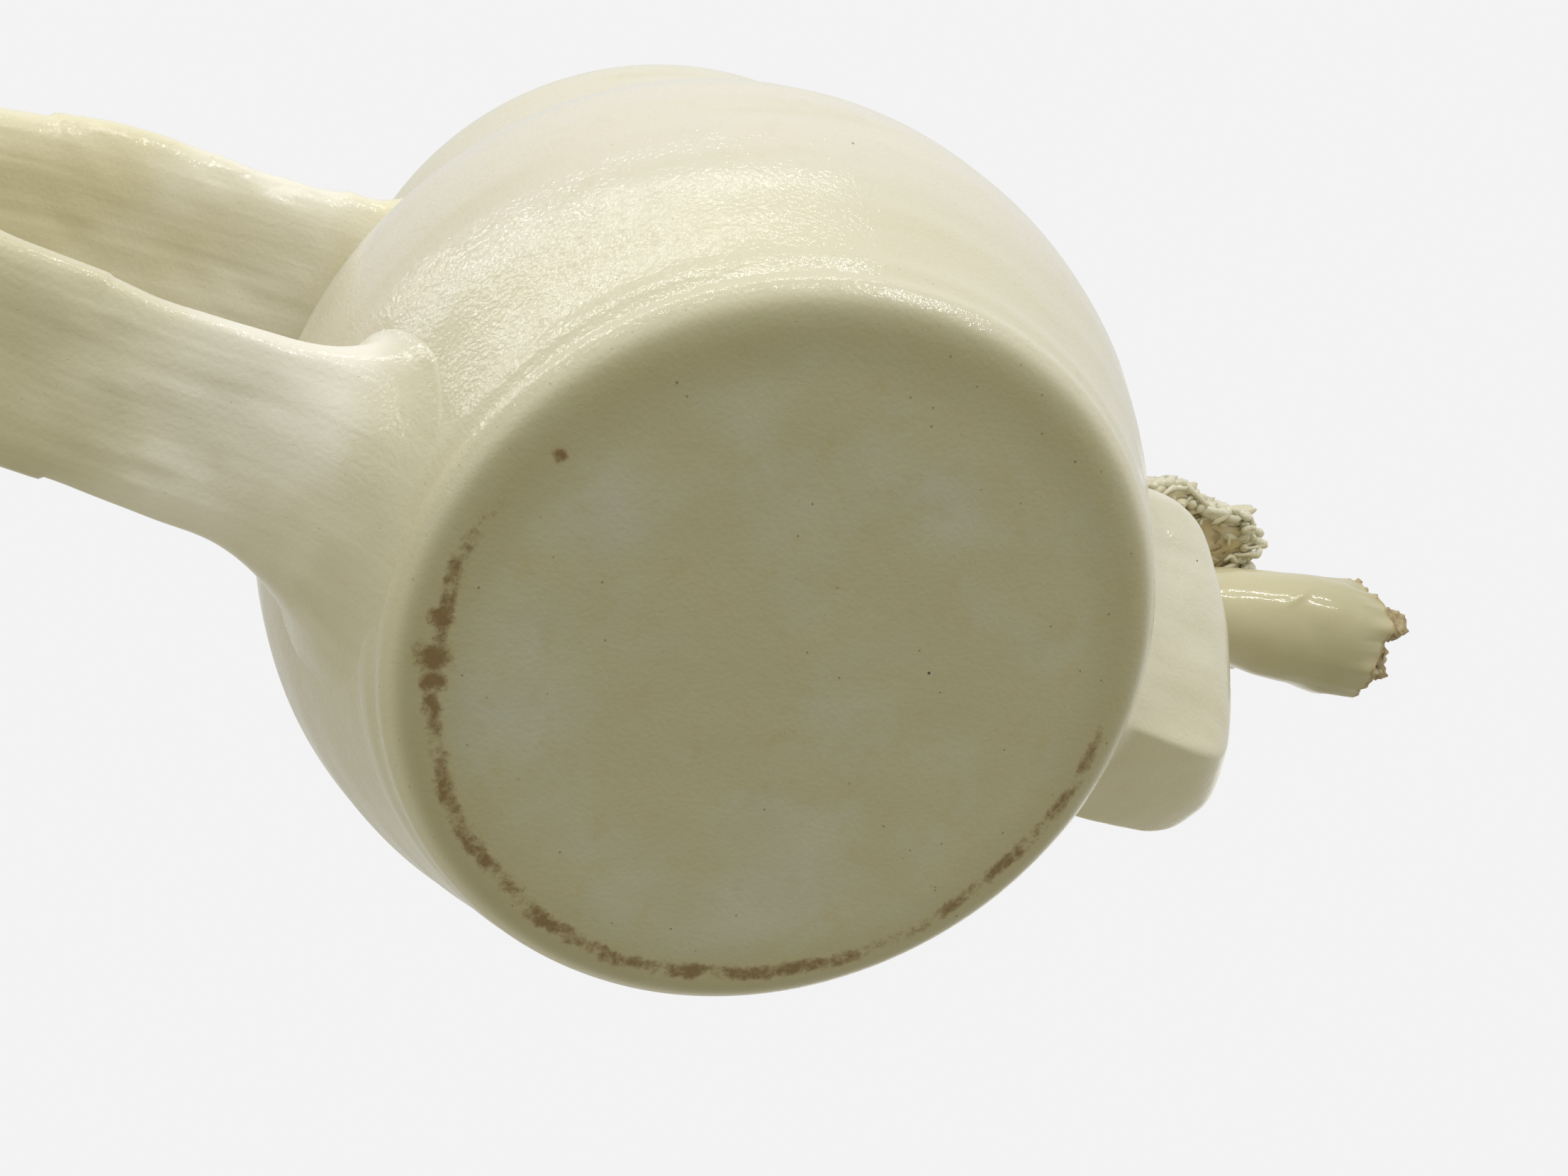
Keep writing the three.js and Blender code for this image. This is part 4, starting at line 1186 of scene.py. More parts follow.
def glaze_material(name, look, base=False, pale=0.0, thin=0.0, torn=False, recess_shade=False, streaks=False):
    """Cream glaze: cloudy colour, fine specks, pinholes, and an orange-peel surface that breaks highlights.

    `base` adds the pot's own bands of colour and its wiped underside. `torn` shows bare clay at a torn edge
    and `recess_shade` darkens the pile by the values kept in the mesh, as pooling glaze and painted shade.
    `streaks` adds pulled lines that run along the strap.
    """
    material = bpy.data.materials.new(name)
    nodes = Shading(material)
    broad = nodes.noise(0.026, 3, 0.55)
    colour = nodes.mix(nodes.ramp(broad, 0.38, 0.64), look.cream, look.warm)
    level = nodes.plus(nodes.z, nodes.times(broad, 0.008))
    if base:
        blush = nodes.times(nodes.ramp(level, 0.016, 0.026), nodes.ramp(level, 0.058, 0.044), 0.7)
        colour = nodes.mix(blush, colour, look.blush)
    bands = nodes.noise(0.006, 2, stretch=(0.12, 0.12, 1))
    colour = nodes.mix(nodes.ramp(bands, 0.5, 0.8, 0, 0.45), colour, look.thin)
    if pale:
        colour = nodes.mix(pale, colour, look.pale)
    # On the roll this darkens and yellows the whole glaze, partly as painted shade
    if thin:
        colour = nodes.mix(thin, colour, look.thin)
    # Painted shade: darker and yellower low down, below about 27 mm, as on the chin's underside
    colour = nodes.mix(nodes.ramp(level, 0.027, 0.013, 0, 0.35), colour, look.thin)
    mottle = nodes.noise(0.0022, 4, 0.7)
    colour = nodes.mix(nodes.ramp(mottle, 0.5, 0.85, 0, 0.4), colour, look.thin)
    specks = nodes.dots(0.0065, 0.00022, 0.16)
    fine_specks = nodes.dots(0.0021, 0.0001, 0.3)
    pinholes = nodes.dots(0.0012, 0.00011, 0.2)
    roughness = nodes.ramp(nodes.noise(0.009, 3), 0.3, 0.75, look.gloss, look.gloss + 0.14)
    peel, ripple, swell = nodes.noise(0.0005), nodes.noise(0.0019), nodes.noise(0.007)
    height = nodes.plus(nodes.times(peel, 1.3), ripple, nodes.times(swell, 2.2))

    if streaks:
        lines = nodes.noise(0.0024, 2, stretch=(1, 0.05, 0.05))
        colour = strap_colours(nodes, look, broad, lines, colour)
        height = nodes.minus(height, nodes.times(lines, 4.0))
    if recess_shade:
        # Glaze that pools deep in the pile, darkened further as painted shade
        pooled_and_shade = nodes.times(nodes.kept("recess_shade"), nodes.ramp(nodes.noise(0.004), 0.2, 0.7, 0.5, 1.0))
        colour = nodes.mix(pooled_and_shade, colour, look.pooled_and_shade)
    if torn:
        colour, roughness = torn_colours(nodes, look, colour, roughness)
    if base:
        pitted = nodes.times(nodes.dots(0.0011, 0.00015, 0.45), nodes.ramp(nodes.z, 0.009, 0.0035), 0.5)
        colour = nodes.mix(pitted, colour, look.olive_and_shade)
        colour, roughness = wiped_base(nodes, look, colour, roughness)

    colour = nodes.mix(nodes.times(fine_specks, 0.4), colour, look.fine_speck)
    colour = nodes.mix(nodes.times(specks, 0.9), colour, look.speck)
    height = nodes.plus(nodes.minus(height, pinholes), nodes.times(specks, 0.6))
    bump = nodes.bump(height, look.peel * (0.25 if torn else 1), 0.00005)
    surface = {"Base Color": colour, "Roughness": roughness, "Normal": bump, "Coat Normal": bump}
    nodes.feed(nodes.tree.nodes["Principled BSDF"], {**surface, **GLASSY})
    return material


# How the glaze reflects: a body of low shine under a clear coat
GLASSY = {
    "IOR": 1.48,
    "Specular IOR Level": 0.2,
    "Coat Weight": 0.6,
    "Coat Roughness": 0.035,
    "Coat IOR": 1.5,
}


def strap_colours(nodes, look, broad, lines, colour):
    """The strap's glaze: pulled lines, painted shade on the lower outside, painted warm bounce light further
    up, and near the pot a thick whiter glaze that is partly painted light.
    """
    colour = nodes.mix(nodes.ramp(lines, 0.5, 0.8, 0, 0.4), colour, look.thin)
    # Painted shade on the strap's lower outside, away from the pot and below about 45 mm
    outer = nodes.times(nodes.ramp(nodes.y, 0.054, 0.066), nodes.ramp(nodes.z, 0.045, 0.03), 0.75)
    colour = nodes.mix(outer, colour, look.thin)
    # Painted warm bounce light on the strap's upper part, from about 30 mm up
    colour = nodes.mix(nodes.ramp(nodes.z, 0.03, 0.05, 0, 0.8), colour, look.handle_bounce_light)
    # Thick whiter glaze near the pot, made brighter still as painted light
    out = nodes.plus(nodes.y, nodes.times(nodes.minus(broad, 0.5), 0.04))
    smear = nodes.times(nodes.ramp(out, 0.068, 0.052), nodes.ramp(out, 0.042, 0.05, 0, 0.85))
    return nodes.mix(smear, colour, look.smeared)


def torn_colours(nodes, look, colour, roughness):
    """The roll's glaze: painted shade towards its end, and worn through to ragged bare clay at the torn edge.
    """
    # Painted shade: darker towards the roll's end
    colour = nodes.mix(nodes.ramp(nodes.y, -0.068, -0.088, 0, 0.55), colour, look.olive_and_shade)
    ragged = nodes.noise(0.0016, 4, 0.65)
    bare = nodes.ramp(nodes.plus(nodes.kept("torn"), nodes.times(ragged, 0.9)), 0.75, 1.3)
    clay = nodes.mix(nodes.ramp(nodes.noise(0.0013, 3), 0.35, 0.65), look.clay, look.clay_dark)
    return nodes.mix(bare, colour, clay), nodes.mix(bare, roughness, (0.62, 0.62, 0.62))


def wiped_base(nodes, look, colour, roughness):
    """The underside: where the glaze was wiped off, with a brown stain where the mug stands."""
    flat = nodes.add("ShaderNodeCombineXYZ", {"X": nodes.x, "Y": nodes.y}).outputs[0]
    radius = nodes.distance(flat)
    under = nodes.ramp(nodes.z, 0.0015, 0.0001)
    colour = nodes.mix(under, colour, base_tone(nodes, look, flat, radius))
    colour = base_stain(nodes, look, flat, radius, under, colour)
    return colour, nodes.mix(under, roughness, (0.42, 0.42, 0.42))


def base_tone(nodes, look, flat, radius):
    """The wiped clay: cool and olive patches, tan smears, a fine grain, and crumbs of dirt.

    The cool patches are partly the clay's mottling and partly painted sky reflection, and painted shade
    darkens the clay towards its edge.
    """
    ragged = nodes.noise(0.009, 4, 0.6, 0.4)
    patch = nodes.plus(nodes.times(nodes.minus(ragged, 0.5), 2.2), nodes.times(nodes.noise(0.021), 1.2))
    for x, y, size in COOL_PATCHES:
        patch = nodes.plus(patch, nodes.times(nodes.spot(flat, x, y, size, 0.0), 0.6))
    # Cool patches, partly the clay's mottling and partly painted sky reflection
    tone = nodes.mix(nodes.ramp(patch, 0.4, 1.6, 0.1, 0.9), look.base_olive, look.cool_mottle_and_reflection)
    smear = nodes.noise(0.0042, 4, 0.6)
    tone = nodes.mix(nodes.ramp(smear, 0.5, 0.8, 0, 0.55), tone, look.base_tan)
    grain = nodes.noise(0.0009, 3, 0.7)
    tone = nodes.mix(nodes.ramp(grain, 0.5, 0.9, 0, 0.3), tone, look.olive_and_shade)
    # Painted shade: the underside darkens towards its edge
    tone = nodes.mix(nodes.ramp(radius, 0.028, 0.0335, 0, 0.5), tone, look.olive_and_shade)
    tone = nodes.mix(nodes.times(nodes.dots(0.0017, 0.00017, 0.25), 0.6), tone, look.stain)
    return nodes.mix(nodes.dots(0.0052, 0.00026, 0.3), tone, look.speck)


# Cool patches on the underside, partly mottling and partly painted sky reflection: across, towards the
# handle, and radius, in millimetres
COOL_PATCHES = [(10, 25, 15), (20, -9, 12), (-20, -7, 10), (-9, 23, 9), (24, 6, 9)]


def base_stain(nodes, look, flat, radius, under, colour):
    """The stain on the underside: a wandering ring and blobs, broken up finely, and dust towards the edge."""
    wander = nodes.times(nodes.minus(nodes.noise(0.012), 0.5), 0.002)
    off = nodes.maths("ABSOLUTE", nodes.minus(nodes.plus(radius, wander), STAIN_RADIUS))
    worn_side = nodes.ramp(nodes.x, -0.014, 0.004, 0.3, 1.0)
    clumps = nodes.ramp(nodes.noise(0.0055), 0.34, 0.6, 0.6, 1)
    strength = nodes.times(nodes.ramp(off, 0.0019, 0.0002), worn_side, clumps)
    for x, y, size in STAIN_BLOBS:
        blob = nodes.times(nodes.spot(flat, x, y, size, 0.1), 1.1)
        strength = nodes.maths("MAXIMUM", strength, blob)
    strength = nodes.times(strength, under)
    fine = nodes.times(nodes.noise(0.0011, 5, 0.75), 1.6)
    stain = nodes.ramp(nodes.plus(strength, fine), 1.25, 1.9, 0, 0.85)
    colour = nodes.mix(nodes.times(strength, 0.55), colour, look.base_tan)
    colour = nodes.mix(stain, colour, look.stain)
    dust = nodes.times(nodes.dots(0.0021, 0.00019, 0.4), under, nodes.ramp(radius, 0.022, 0.033, 0, 0.7))
    return nodes.mix(dust, colour, look.stain)


# Where the ring of the stain lies, in metres from the middle
STAIN_RADIUS = 0.0337

# Blobs of the stain: across, towards the handle, and radius, in millimetres
STAIN_BLOBS = [(8.2, 32.6, 3.4), (10.4, 31.8, 2.6), (-13, 29.5, 1.4), (33.2, -4.6, 2.2), (4.4, 33.4, 2.4)]


def clay_material(name, look):
    """Bare crumbled clay: two tans in fine patches, with a coarse grain."""
    material = bpy.data.materials.new(name)
    nodes = Shading(material)
    colour = nodes.mix(nodes.ramp(nodes.noise(0.0016, 4, 0.6), 0.35, 0.65), look.clay, look.clay_dark)
    colour = nodes.mix(nodes.ramp(nodes.noise(0.0031), 0.5, 0.7), colour, look.clay_glazed)
    bump = nodes.bump(nodes.noise(0.0006, 4, 0.7), 0.7, 0.00025)
    surface = {"Base Color": colour, "Roughness": 0.5, "Normal": bump}
    nodes.feed(nodes.tree.nodes["Principled BSDF"], surface)
    return material


def floor_material(look):
    """A pale floor that only a camera above it sees, near the mug. For every other ray it is clear."""
    material = bpy.data.materials.new("pale_floor")
    nodes = Shading(material, empty=True)
    rays = nodes.add("ShaderNodeLightPath").outputs["Is Camera Ray"]
    below = nodes.add("ShaderNodeNewGeometry").outputs["Backfacing"]
    near = nodes.ramp(nodes.distance(nodes.place), 0.42, 0.16)
    seen = nodes.times(rays, nodes.minus(1.0, below), near)
    paint = nodes.add("ShaderNodeBsdfDiffuse", {"Color": (*look.floor, 1)}).outputs[0]
    clear = nodes.add("ShaderNodeBsdfTransparent").outputs[0]
    both = nodes.add("ShaderNodeMixShader", {0: seen, 1: clear, 2: paint}).outputs[0]
    nodes.add("ShaderNodeOutputMaterial", {"Surface": both})
    return material


def world_light(look):
    """A plain pale surround, and for the diffuse light a dome that is brightest towards the window."""
    world = bpy.data.worlds.new("studio")
    bpy.context.scene.world = world
    nodes = Shading(world, "Generated", empty=True)
    inputs = {0: nodes.place, 1: WINDOW}
    toward = nodes.add("ShaderNodeVectorMath", inputs, operation="DOT_PRODUCT").outputs["Value"]
    dome = nodes.mix(nodes.ramp(toward, -0.9, 1.0), look.light_away, look.light_window)
    rays = nodes.add("ShaderNodeLightPath").outputs
    mirrored = nodes.times(rays["Is Glossy Ray"], look.sheen)
    seen = nodes.maths("MAXIMUM", rays["Is Camera Ray"], mirrored)
    seen = nodes.maths("MAXIMUM", seen, rays["Is Transmission Ray"])
    colour = nodes.mix(seen, dome, look.backdrop)
    light = nodes.add("ShaderNodeBackground", {"Color": colour, "Strength": 1.0}).outputs[0]
    nodes.add("ShaderNodeOutputWorld", {"Surface": light})


# The direction of the window
WINDOW = (-0.869, -0.075, 0.490)


# Settings


def length(name, description, default):
    """A length in metres that a user can change."""
    return bpy.props.FloatProperty(
        name=name, description=description, default=default, min=0, unit="LENGTH", precision=4
    )


def angle(name, description, degrees):
    """An angle that a user can change."""
    return bpy.props.FloatProperty(
        name=name, description=description, default=math.radians(degrees), subtype="ANGLE"
    )


def share(name, description, default):
    """A number from 0 to 1 that a user can change."""
    return bpy.props.FloatProperty(name=name, description=description, default=default, min=0, max=1)


def tint(name, description, default):
    """A colour that a user can change."""
    return bpy.props.FloatVectorProperty(
        name=name, description=description, default=default, size=3, min=0, soft_max=1, subtype="COLOR"
    )


class MugPotSettings(bpy.types.PropertyGroup):
    height: length("Height", "From the table to the rim", POT_BOX[1].z)
    foot_radius: length("Foot radius", "Radius of the flat base", 34 * MM)
    belly_radius: length("Belly radius", "Radius at the widest place", POT_BOX[1].x)
    belly_height: length("Belly height", "Height of the widest place", 36 * MM)
    neck_radius: length("Neck radius", "Radius at the narrowest place under the rim", 42 * MM)
    neck_below_rim: length("Neck below rim", "From the rim down to the neck", 20 * MM)
    rim_radius: length("Rim radius", "Outer radius of the rim", 43.8 * MM)
    rim_lean: length("Rim lean", "How far the mouth is pushed over the face", 5.7 * MM)
    wall: length("Wall", "Thickness of the wall", 5 * MM)
    floor_thickness: length("Floor", "Thickness of the floor", 7 * MM)
    ring_height: length("Ring height", "Height of the throwing rings", 0.07 * MM)
    ring_pitch: length("Ring pitch", "From one throwing ring to the next", 6.5 * MM)
    face_turn: angle("Face turn", "How far the face is turned off the line of the handle", 4)


class MugHandleSettings(bpy.types.PropertyGroup):
    reach: length("Reach", "From the pot's axis to the outside of the bend", STRAP_BOX[1].y)
    lower_root: length("Lower root", "Height of the strap's lower end", 18.5 * MM)
    upper_root_below_rim: length("Upper root", "From the rim down to the strap's upper end", 17 * MM)
    width_top: length("Width at top", "Width of the strap at its upper end", 24 * MM)
    width_bottom: length("Width at bottom", "Width of the strap at its lower end", 20 * MM)
    thickness_top: length("Thickness at top", "Thickness of the strap at its upper end", 8 * MM)
    thickness_bottom: length("Thickness at bottom", "Thickness of the strap at its lower end", 6.4 * MM)
    hollow_inside: length("Hollow inside", "How far the inner face is drawn in", 1.1 * MM)
    hollow_outside: length("Hollow outside", "How far the outer face is drawn in", 0.35 * MM)
    lower_flare: length("Lower flare", "How far the lower end is smeared over the pot on its left", 12 * MM)
    lower_sweep: length("Lower sweep", "How far the lower end is smeared over the pot below", 13.5 * MM)
    lower_tuck: length("Lower tuck", "How far the lower end is smeared over the pot on its right", 9.0 * MM)
    lower_inside: length("Lower inside", "How far the lower end is smeared over the pot above", 7.0 * MM)
    upper_flare: length("Upper flare", "How far the upper end is smeared over the pot", 7 * MM)
    upper_inside: length("Upper inside", "How far the upper end is smeared over the pot below", 5 * MM)


class MugFaceSettings(bpy.types.PropertyGroup):
    chin_bottom: length("Chin bottom", "Height of the chin's lower edge", 8.6 * MM)
    chin_top: length("Chin top", "Height of the chin's upper edge", 32.2 * MM)
    chin_depth: length("Chin depth", "How far the chin stands out", 20.5 * MM)
    lip_thickness: length("Lip thickness", "Height of a lip", 5.2 * MM)
    lip_depth: length("Lip depth", "How far the lips stand out", 17.5 * MM)
    lip_width: length("Lip width", "Width of the mouth", 34 * MM)
    mouth_height: length("Mouth height", "Height of the roll's axis", 41.087 * MM)
    roll_radius_root: length("Roll radius at root", "Radius of the roll at the lips", 4.9 * MM)
    roll_radius_end: length("Roll radius at end", "Radius of the roll at its torn end", 8 * MM)
    roll_reach: length("Roll reach", "How far the roll stands out from the pot", 46.5 * MM)
    roll_offset: length("Roll offset", "How far the roll's root lies to the figure's right", 1.5 * MM)
    roll_turn: angle("Roll turn", "How far the roll points to the figure's right", 11.5)
    moustache_depth: length("Moustache depth", "How far the moustache stands out", 37 * MM)
    moustache_width: length("Moustache width", "Width of the moustache", 35.5 * MM)
    nose_base: length("Nose base", "Height of the nose's underside", 56.438 * MM)
    nose_height: length("Nose height", "From the nose's underside to its root", 16.6 * MM)
    nose_depth: length("Nose depth", "How far the nose stands out", 25 * MM)
    nose_width: length("Nose width", "Width across the ball of the nose", 15 * MM)
    eye_height: length("Eye height", "Height of the eyes", 68.933 * MM)
    eye_spacing: length("Eye spacing", "Between the eyes, measured round the pot", 31 * MM)
    eye_radius: length("Eye radius", "Radius of an eyeball", 7.2 * MM)
    lid_thickness: length("Lid thickness", "Thickness of an eyelid", 1.9 * MM)
    brow_height: length("Brow height", "Height of the brows", 80 * MM)
    brow_start: length("Brow start", "From the middle of the face to a brow", 7 * MM)
    brow_length: length("Brow length", "Length of a brow", 19 * MM)
    brow_thickness: length("Brow thickness", "Thickness of a brow", 4.4 * MM)


class MugLookSettings(bpy.types.PropertyGroup):
    cream: tint("Cream", "Main colour of the glaze", (0.70, 0.675, 0.535))
    warm: tint("Warm cream", "Second colour of the glaze", (0.70, 0.665, 0.515))
    blush: tint("Blush", "The warmer band round the belly", (0.71, 0.665, 0.55))
    # Also painted shade: low on the strap's outside, low down on every piece, and over the roll
    thin: tint("Thin glaze", "Where the glaze is thin", (0.60, 0.55, 0.345))
    pale: tint("Pale glaze", "Colour of the eyes", (0.78, 0.755, 0.64))
    # Also painted shade, deep in the moustache's pile and under its pad
    pooled_and_shade: tint("Pooled glaze", "Where glaze pools in the moustache", (0.54, 0.42, 0.19))
    # Painted warm bounce light on the upper part of the handle
    handle_bounce_light: tint("Inside the handle", "Warm glaze on the upper part of the handle", (0.80, 0.74, 0.50))
    # Partly painted light: whiter glaze near the pot where the strap meets it
    smeared: tint("Smeared glaze", "Thick glaze at the lower root of the handle", (0.87, 0.84, 0.73))
    speck: tint("Speck", "Dark specks in the glaze", (0.05, 0.045, 0.035))
    fine_speck: tint("Fine speck", "Small brown specks in the glaze", (0.25, 0.19, 0.10))
    # Partly painted sky reflection on the underside, partly the clay's mottling
    cool_mottle_and_reflection: tint("Base, cool", "Cool patches on the underside", (0.50, 0.50, 0.40))
    base_olive: tint("Base, olive", "Olive ground of the underside", (0.47, 0.44, 0.27))
    base_tan: tint("Base, tan", "Tan smears on the underside", (0.45, 0.39, 0.20))
    # Also painted shade, towards the underside's edge and the roll's end
    olive_and_shade: tint("Base edge", "Towards the edge of the underside", (0.38, 0.35, 0.19))
    stain: tint("Stain", "Dirt where the mug stands", (0.16, 0.085, 0.014))
    clay: tint("Clay", "Bare clay", (0.52, 0.42, 0.24))
    clay_dark: tint("Dark clay", "Dark patches of bare clay", (0.33, 0.25, 0.11))
    clay_glazed: tint("Glazed clay", "Clay under thin glaze", (0.58, 0.50, 0.34))
    floor: tint("Floor", "Colour of the floor", (0.86, 0.86, 0.86))
    backdrop: tint("Backdrop", "Colour of the surround", (0.896, 0.896, 0.896))
    light_window: tint("Window light", "Dome light from the window's side", (0.758, 0.758, 0.754))
    light_away: tint("Room light", "Dome light from the other side", (0.417, 0.392, 0.284))
    sheen: share("Sheen", "Share of the surround in reflections", 0.3)
    gloss: share("Gloss", "Least roughness of the glaze", 0.24)
    peel: share("Peel", "Strength of the orange peel", 0.9)


SETTINGS = (MugPotSettings, MugHandleSettings, MugFaceSettings, MugLookSettings)


# What each glaze adds to the plain one
GLAZES = {
    "cream_glaze": {},
    "pot_glaze": {"base": True},
    "strap_glaze": {"streaks": True},
    "eye_glaze": {"pale": 0.7},
    # The roll takes the thin colour in full, which is partly painted shade
    "roll_glaze": {"thin": 1.0, "torn": True},
    "strand_glaze": {"thin": 0.25, "recess_shade": True},
}


def material_for(name, look):
    """The named material, made once."""
    made = bpy.data.materials.get(name)
    if made:
        return made
    if name in GLAZES:
        return glaze_material(name, look, **GLAZES[name])
    return clay_material(name, look)


# Operators


def add_piece(scene, name, skins, material, node, attributes=None):
    """Makes a piece of the named material and puts it at its node."""
    piece = mesh_piece(name, skins, material_for(material, scene.mug_look), attributes)
    seat(piece, node)


class MUG_OT_pot(bpy.types.Operator):
    """Adds the thrown pot"""

    bl_idname = "mesh.face_mug_pot"
    bl_label = "Pot"

    def execute(self, context):
        scene = context.scene
        rows = pot_skin(PotForm(scene.mug_pot), scene.mug_pot)
        add_piece(scene, "pot", [rows], "pot_glaze", "mug_body")
        return {"FINISHED"}


class MUG_OT_handle(bpy.types.Operator):
    """Adds the pulled strap handle"""

    bl_idname = "mesh.face_mug_handle"
    bl_label = "Handle"

    def execute(self, context):
        scene = context.scene
        rows = strap_skin(PotForm(scene.mug_pot), scene.mug_handle)
        add_piece(scene, "handle", [rows], "strap_glaze", "handle_strap")
        return {"FINISHED"}


class MUG_OT_chin(bpy.types.Operator):
    """Adds the chin and both lips"""

    bl_idname = "mesh.face_mug_chin"
    bl_label = "Chin and Lips"

    def execute(self, context):
        scene = context.scene
        form = PotForm(scene.mug_pot)
        face = scene.mug_face
        add_piece(scene, "chin_slab", [chin_skin(form, face)], "cream_glaze", "chin")
        for name, node, upper in (("lip_below", "lower_lip", False), ("lip_above", "upper_lip", True)):
            add_piece(scene, name, [lip_skin(form, face, upper)], "cream_glaze", node)
        return {"FINISHED"}


class MUG_OT_roll(bpy.types.Operator):
    """Adds the roll of clay with its torn end and its crumbled filler"""

    bl_idname = "mesh.face_mug_roll"
    bl_label = "Roll"

    def execute(self, context):
        scene = context.scene
        roll = RollForm(PotForm(scene.mug_pot), scene.mug_face)
        leaf, torn = wrapper_skin(roll)
        kept = {"torn": [torn]}
        add_piece(scene, "roll_leaf", [leaf], "roll_glaze", "cigar_wrapper", kept)
        filler = filler_skins(roll)
        add_piece(scene, "roll_filler", filler, "crumbled_clay", "cigar_filler")
        return {"FINISHED"}


class MUG_OT_nose(bpy.types.Operator):
    """Adds the nose"""

    bl_idname = "mesh.face_mug_nose"
    bl_label = "Nose"

    def execute(self, context):
        scene = context.scene
        rows = nose_skin(PotForm(scene.mug_pot), scene.mug_face)
        add_piece(scene, "nose_form", [rows], "cream_glaze", "nose")
        return {"FINISHED"}


class MUG_OT_moustache(bpy.types.Operator):
    """Adds both halves of the strand moustache"""

    bl_idname = "mesh.face_mug_moustache"
    bl_label = "Moustache"

    def execute(self, context):
        scene = context.scene
        form = PotForm(scene.mug_pot)
        for word, side in SIDES:
            skins, recess_shade = moustache_skins(form, scene.mug_face, side)
            kept = {"recess_shade": recess_shade}
            add_piece(scene, "strands_" + word, skins, "strand_glaze", "moustache_" + word, kept)
        return {"FINISHED"}


class MUG_OT_eyes(bpy.types.Operator):
    """Adds the eyeballs, eyelids and brows"""

    bl_idname = "mesh.face_mug_eyes"
    bl_label = "Eyes and Brows"

    def execute(self, context):
        scene = context.scene
        form = PotForm(scene.mug_pot)
        face = scene.mug_face
        for word, side in SIDES:
            ball = [eyeball_skin(form, face, side)]
            add_piece(scene, "ball_" + word, ball, "eye_glaze", "eyeball_" + word)
            for place, upper in (("upper", True), ("lower", False)):
                lid = [eyelid_skin(form, face, side, upper)]
                node = f"{place}_eyelid_{word}"
                add_piece(scene, f"lid_{place}_{word}", lid, "cream_glaze", node)
            brow = brow_skins(form, face, side)
            add_piece(scene, "strand_brow_" + word, brow, "cream_glaze", "brow_" + word)
        return {"FINISHED"}


# The figure's own left and right, and the sign of x there
SIDES = (("left", 1), ("right", -1))


class MUG_OT_stage(bpy.types.Operator):
    """Adds the camera, the lamps, the surround and the floor"""

    bl_idname = "mesh.face_mug_stage"
    bl_label = "Stage"

    def execute(self, context):
        scene = context.scene
        look = scene.mug_look
        scene.view_settings.view_transform = "Standard"
        add_camera(scene)
        for name, azimuth, elevation, size, power in LAMPS:
            add_lamp(scene, name, azimuth, elevation, size, power)
        world_light(look)
        mesh = bpy.data.meshes.new("floor")
        half = FLOOR_HALF
        corners = [(-half, -half), (half, -half), (half, half), (-half, half)]
        mesh.from_pydata([(x, y, FLOOR_HEIGHT) for x, y in corners], [], [(0, 1, 2, 3)])
        mesh.materials.append(floor_material(look))
        floor = bpy.data.objects.new("floor", mesh)
        scene.collection.objects.link(floor)
        return {"FINISHED"}


# Half the floor's side, and its height just under the foot
FLOOR_HALF = 1.5
FLOOR_HEIGHT = -0.0004


# Lamps round the mug: name, azimuth and elevation in degrees, width and height in metres, watts
LAMPS = [
    ("window_a", 178, 20, (0.16, 0.014), 0.16),
    ("window_b", 163, 21, (0.16, 0.014), 0.18),
    ("window_c", 148, 22, (0.16, 0.014), 0.18),
    ("window_d", 133, 23, (0.16, 0.014), 0.18),
    ("window_e", 118, 25, (0.16, 0.016), 0.18),
    ("window_f", 104, 29, (0.14, 0.018), 0.12),
    ("low_upper", 193, -3, (0.26, 0.008), 0.4),
    ("low_lower", 193, -14, (0.26, 0.008), 0.4),
    ("low_b", 165, -8, (0.22, 0.008), 0.16),
    ("low_c", 143, -7, (0.22, 0.008), 0.16),
    ("low_d", 121, -6, (0.22, 0.008), 0.14),
    ("rear_soft", 110, -22, (0.5, 0.34), 0.25),
    ("front_fill", -60, 40, (0.4, 0.4), 0.2),
]

# How far the lamps stand from the mug's middle, and how high that is, in metres
LAMP_DISTANCE = 0.62
LAMP_MIDDLE = 0.03


def add_lamp(scene, name, azimuth, elevation, size, power):
    """An area lamp on a ball about the mug's middle, turned to face it."""
    data = bpy.data.lights.new(name, "AREA")
    data.shape = "RECTANGLE"
    data.size, data.size_y = size
    data.energy = power
    lamp = bpy.data.objects.new(name, data)
    a, e = math.radians(azimuth), math.radians(elevation)
    lamp.location = (
        LAMP_DISTANCE * math.cos(a) * math.cos(e),
        LAMP_DISTANCE * math.sin(a) * math.cos(e),
        LAMP_DISTANCE * math.sin(e) + LAMP_MIDDLE,
    )
    lamp.rotation_euler = Euler((math.pi / 2 - e, 0, a + math.pi / 2))
    scene.collection.objects.link(lamp)


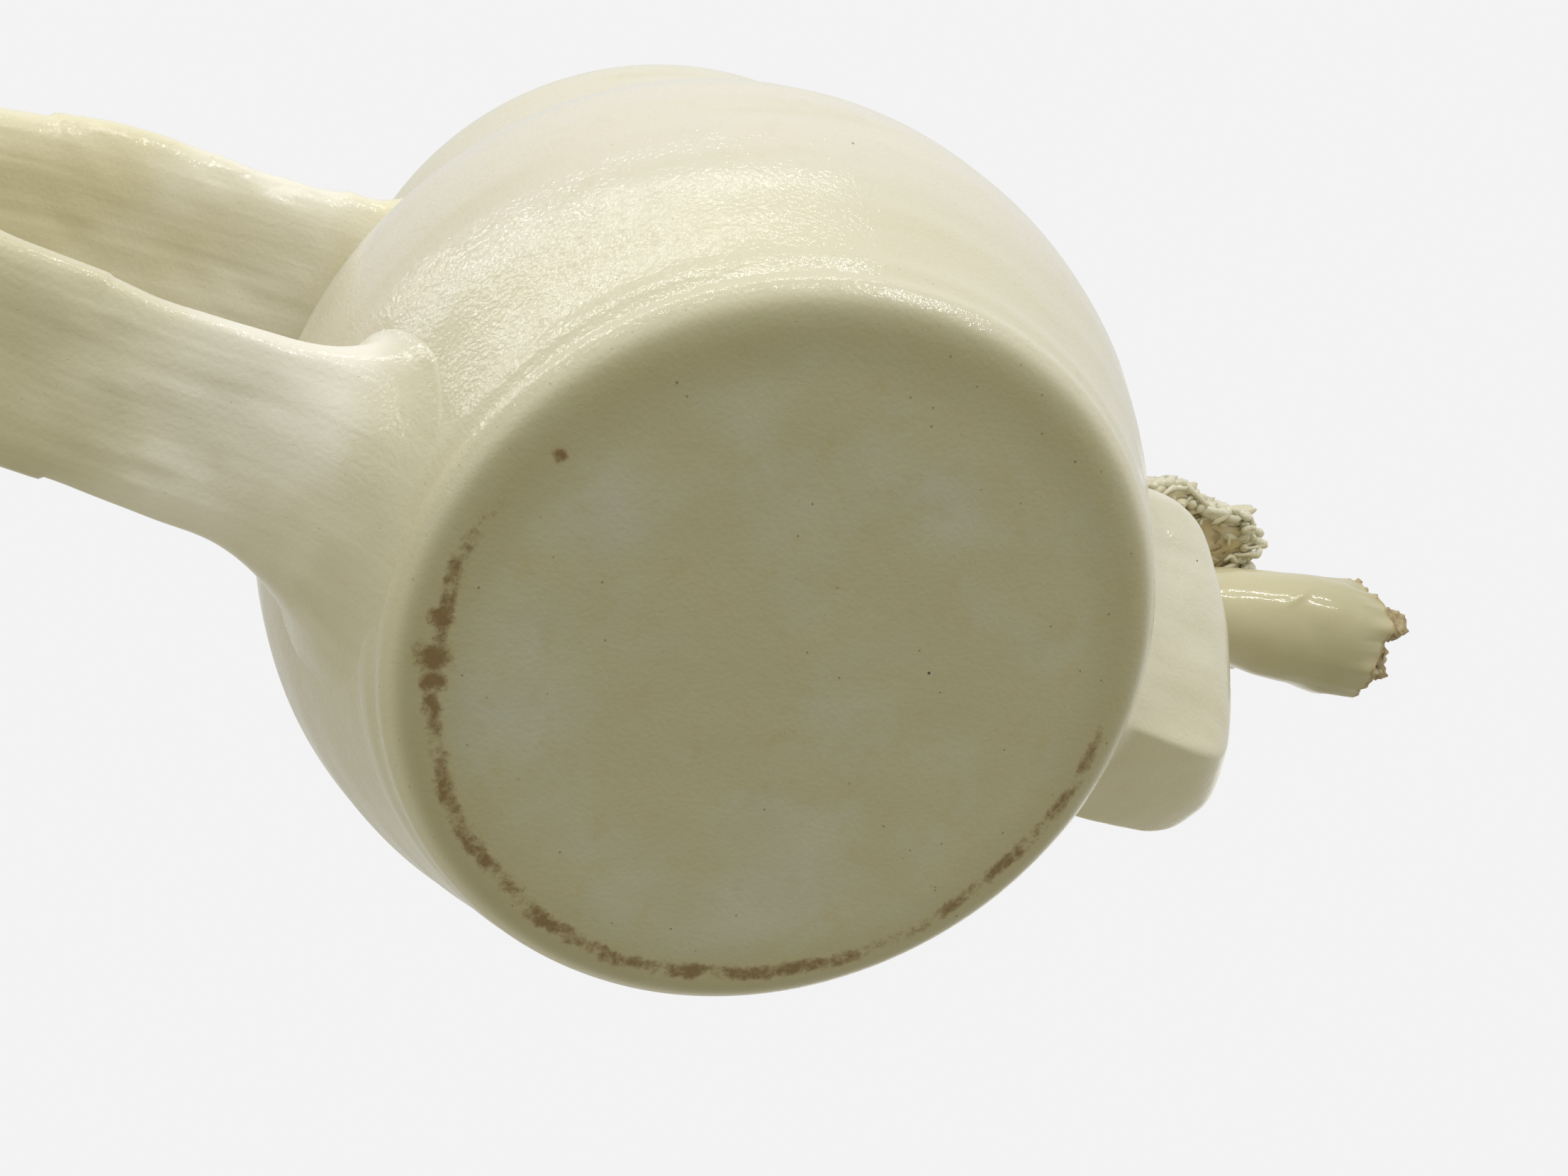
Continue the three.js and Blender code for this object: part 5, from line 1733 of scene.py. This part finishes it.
def add_camera(scene):
    """The photograph's camera: below the mug, with the base towards it."""
    data = bpy.data.cameras.new("camera")
    data.sensor_width = 36
    data.lens = FOCAL_PIXELS / PHOTO_WIDTH * data.sensor_width
    data.clip_start = 0.005
    data.clip_end = 20
    camera = bpy.data.objects.new("camera", data)
    camera.location = CAMERA_PLACE
    camera.rotation_euler = Euler([math.radians(turn) for turn in CAMERA_TURNS])
    scene.collection.objects.link(camera)
    scene.camera = camera


# Where the photograph's camera stands, in metres, and how it is turned, in degrees
CAMERA_PLACE = (-0.054534, 0.070709, -0.140477)
CAMERA_TURNS = (154.18949, 15.25198, -116.22447)


OPERATORS = (
    MUG_OT_pot,
    MUG_OT_handle,
    MUG_OT_chin,
    MUG_OT_roll,
    MUG_OT_nose,
    MUG_OT_moustache,
    MUG_OT_eyes,
    MUG_OT_stage,
)


class MUG_PT_panel(bpy.types.Panel):
    """Lists the mug's operators"""

    bl_label = "Face Mug"
    bl_idname = "MUG_PT_panel"
    bl_space_type = "VIEW_3D"
    bl_region_type = "UI"
    bl_category = "Face Mug"

    def draw(self, context):
        for operator in OPERATORS:
            self.layout.operator(operator.bl_idname)


def register():
    """Makes the settings, the operators and the panel known to Blender."""
    for cls in (*SETTINGS, *OPERATORS, MUG_PT_panel):
        bpy.utils.register_class(cls)
    bpy.types.Scene.mug_pot = bpy.props.PointerProperty(type=MugPotSettings)
    bpy.types.Scene.mug_handle = bpy.props.PointerProperty(type=MugHandleSettings)
    bpy.types.Scene.mug_face = bpy.props.PointerProperty(type=MugFaceSettings)
    bpy.types.Scene.mug_look = bpy.props.PointerProperty(type=MugLookSettings)


def unregister():
    """Takes them away again."""
    for name in ("mug_look", "mug_face", "mug_handle", "mug_pot"):
        delattr(bpy.types.Scene, name)
    for cls in reversed((*SETTINGS, *OPERATORS, MUG_PT_panel)):
        bpy.utils.unregister_class(cls)


def main():
    register()
    bpy.ops.mesh.face_mug_stage()
    bpy.ops.mesh.face_mug_pot()
    bpy.ops.mesh.face_mug_handle()
    bpy.ops.mesh.face_mug_chin()
    bpy.ops.mesh.face_mug_roll()
    bpy.ops.mesh.face_mug_nose()
    bpy.ops.mesh.face_mug_moustache()
    bpy.ops.mesh.face_mug_eyes()


if __name__ == "__main__":
    main()
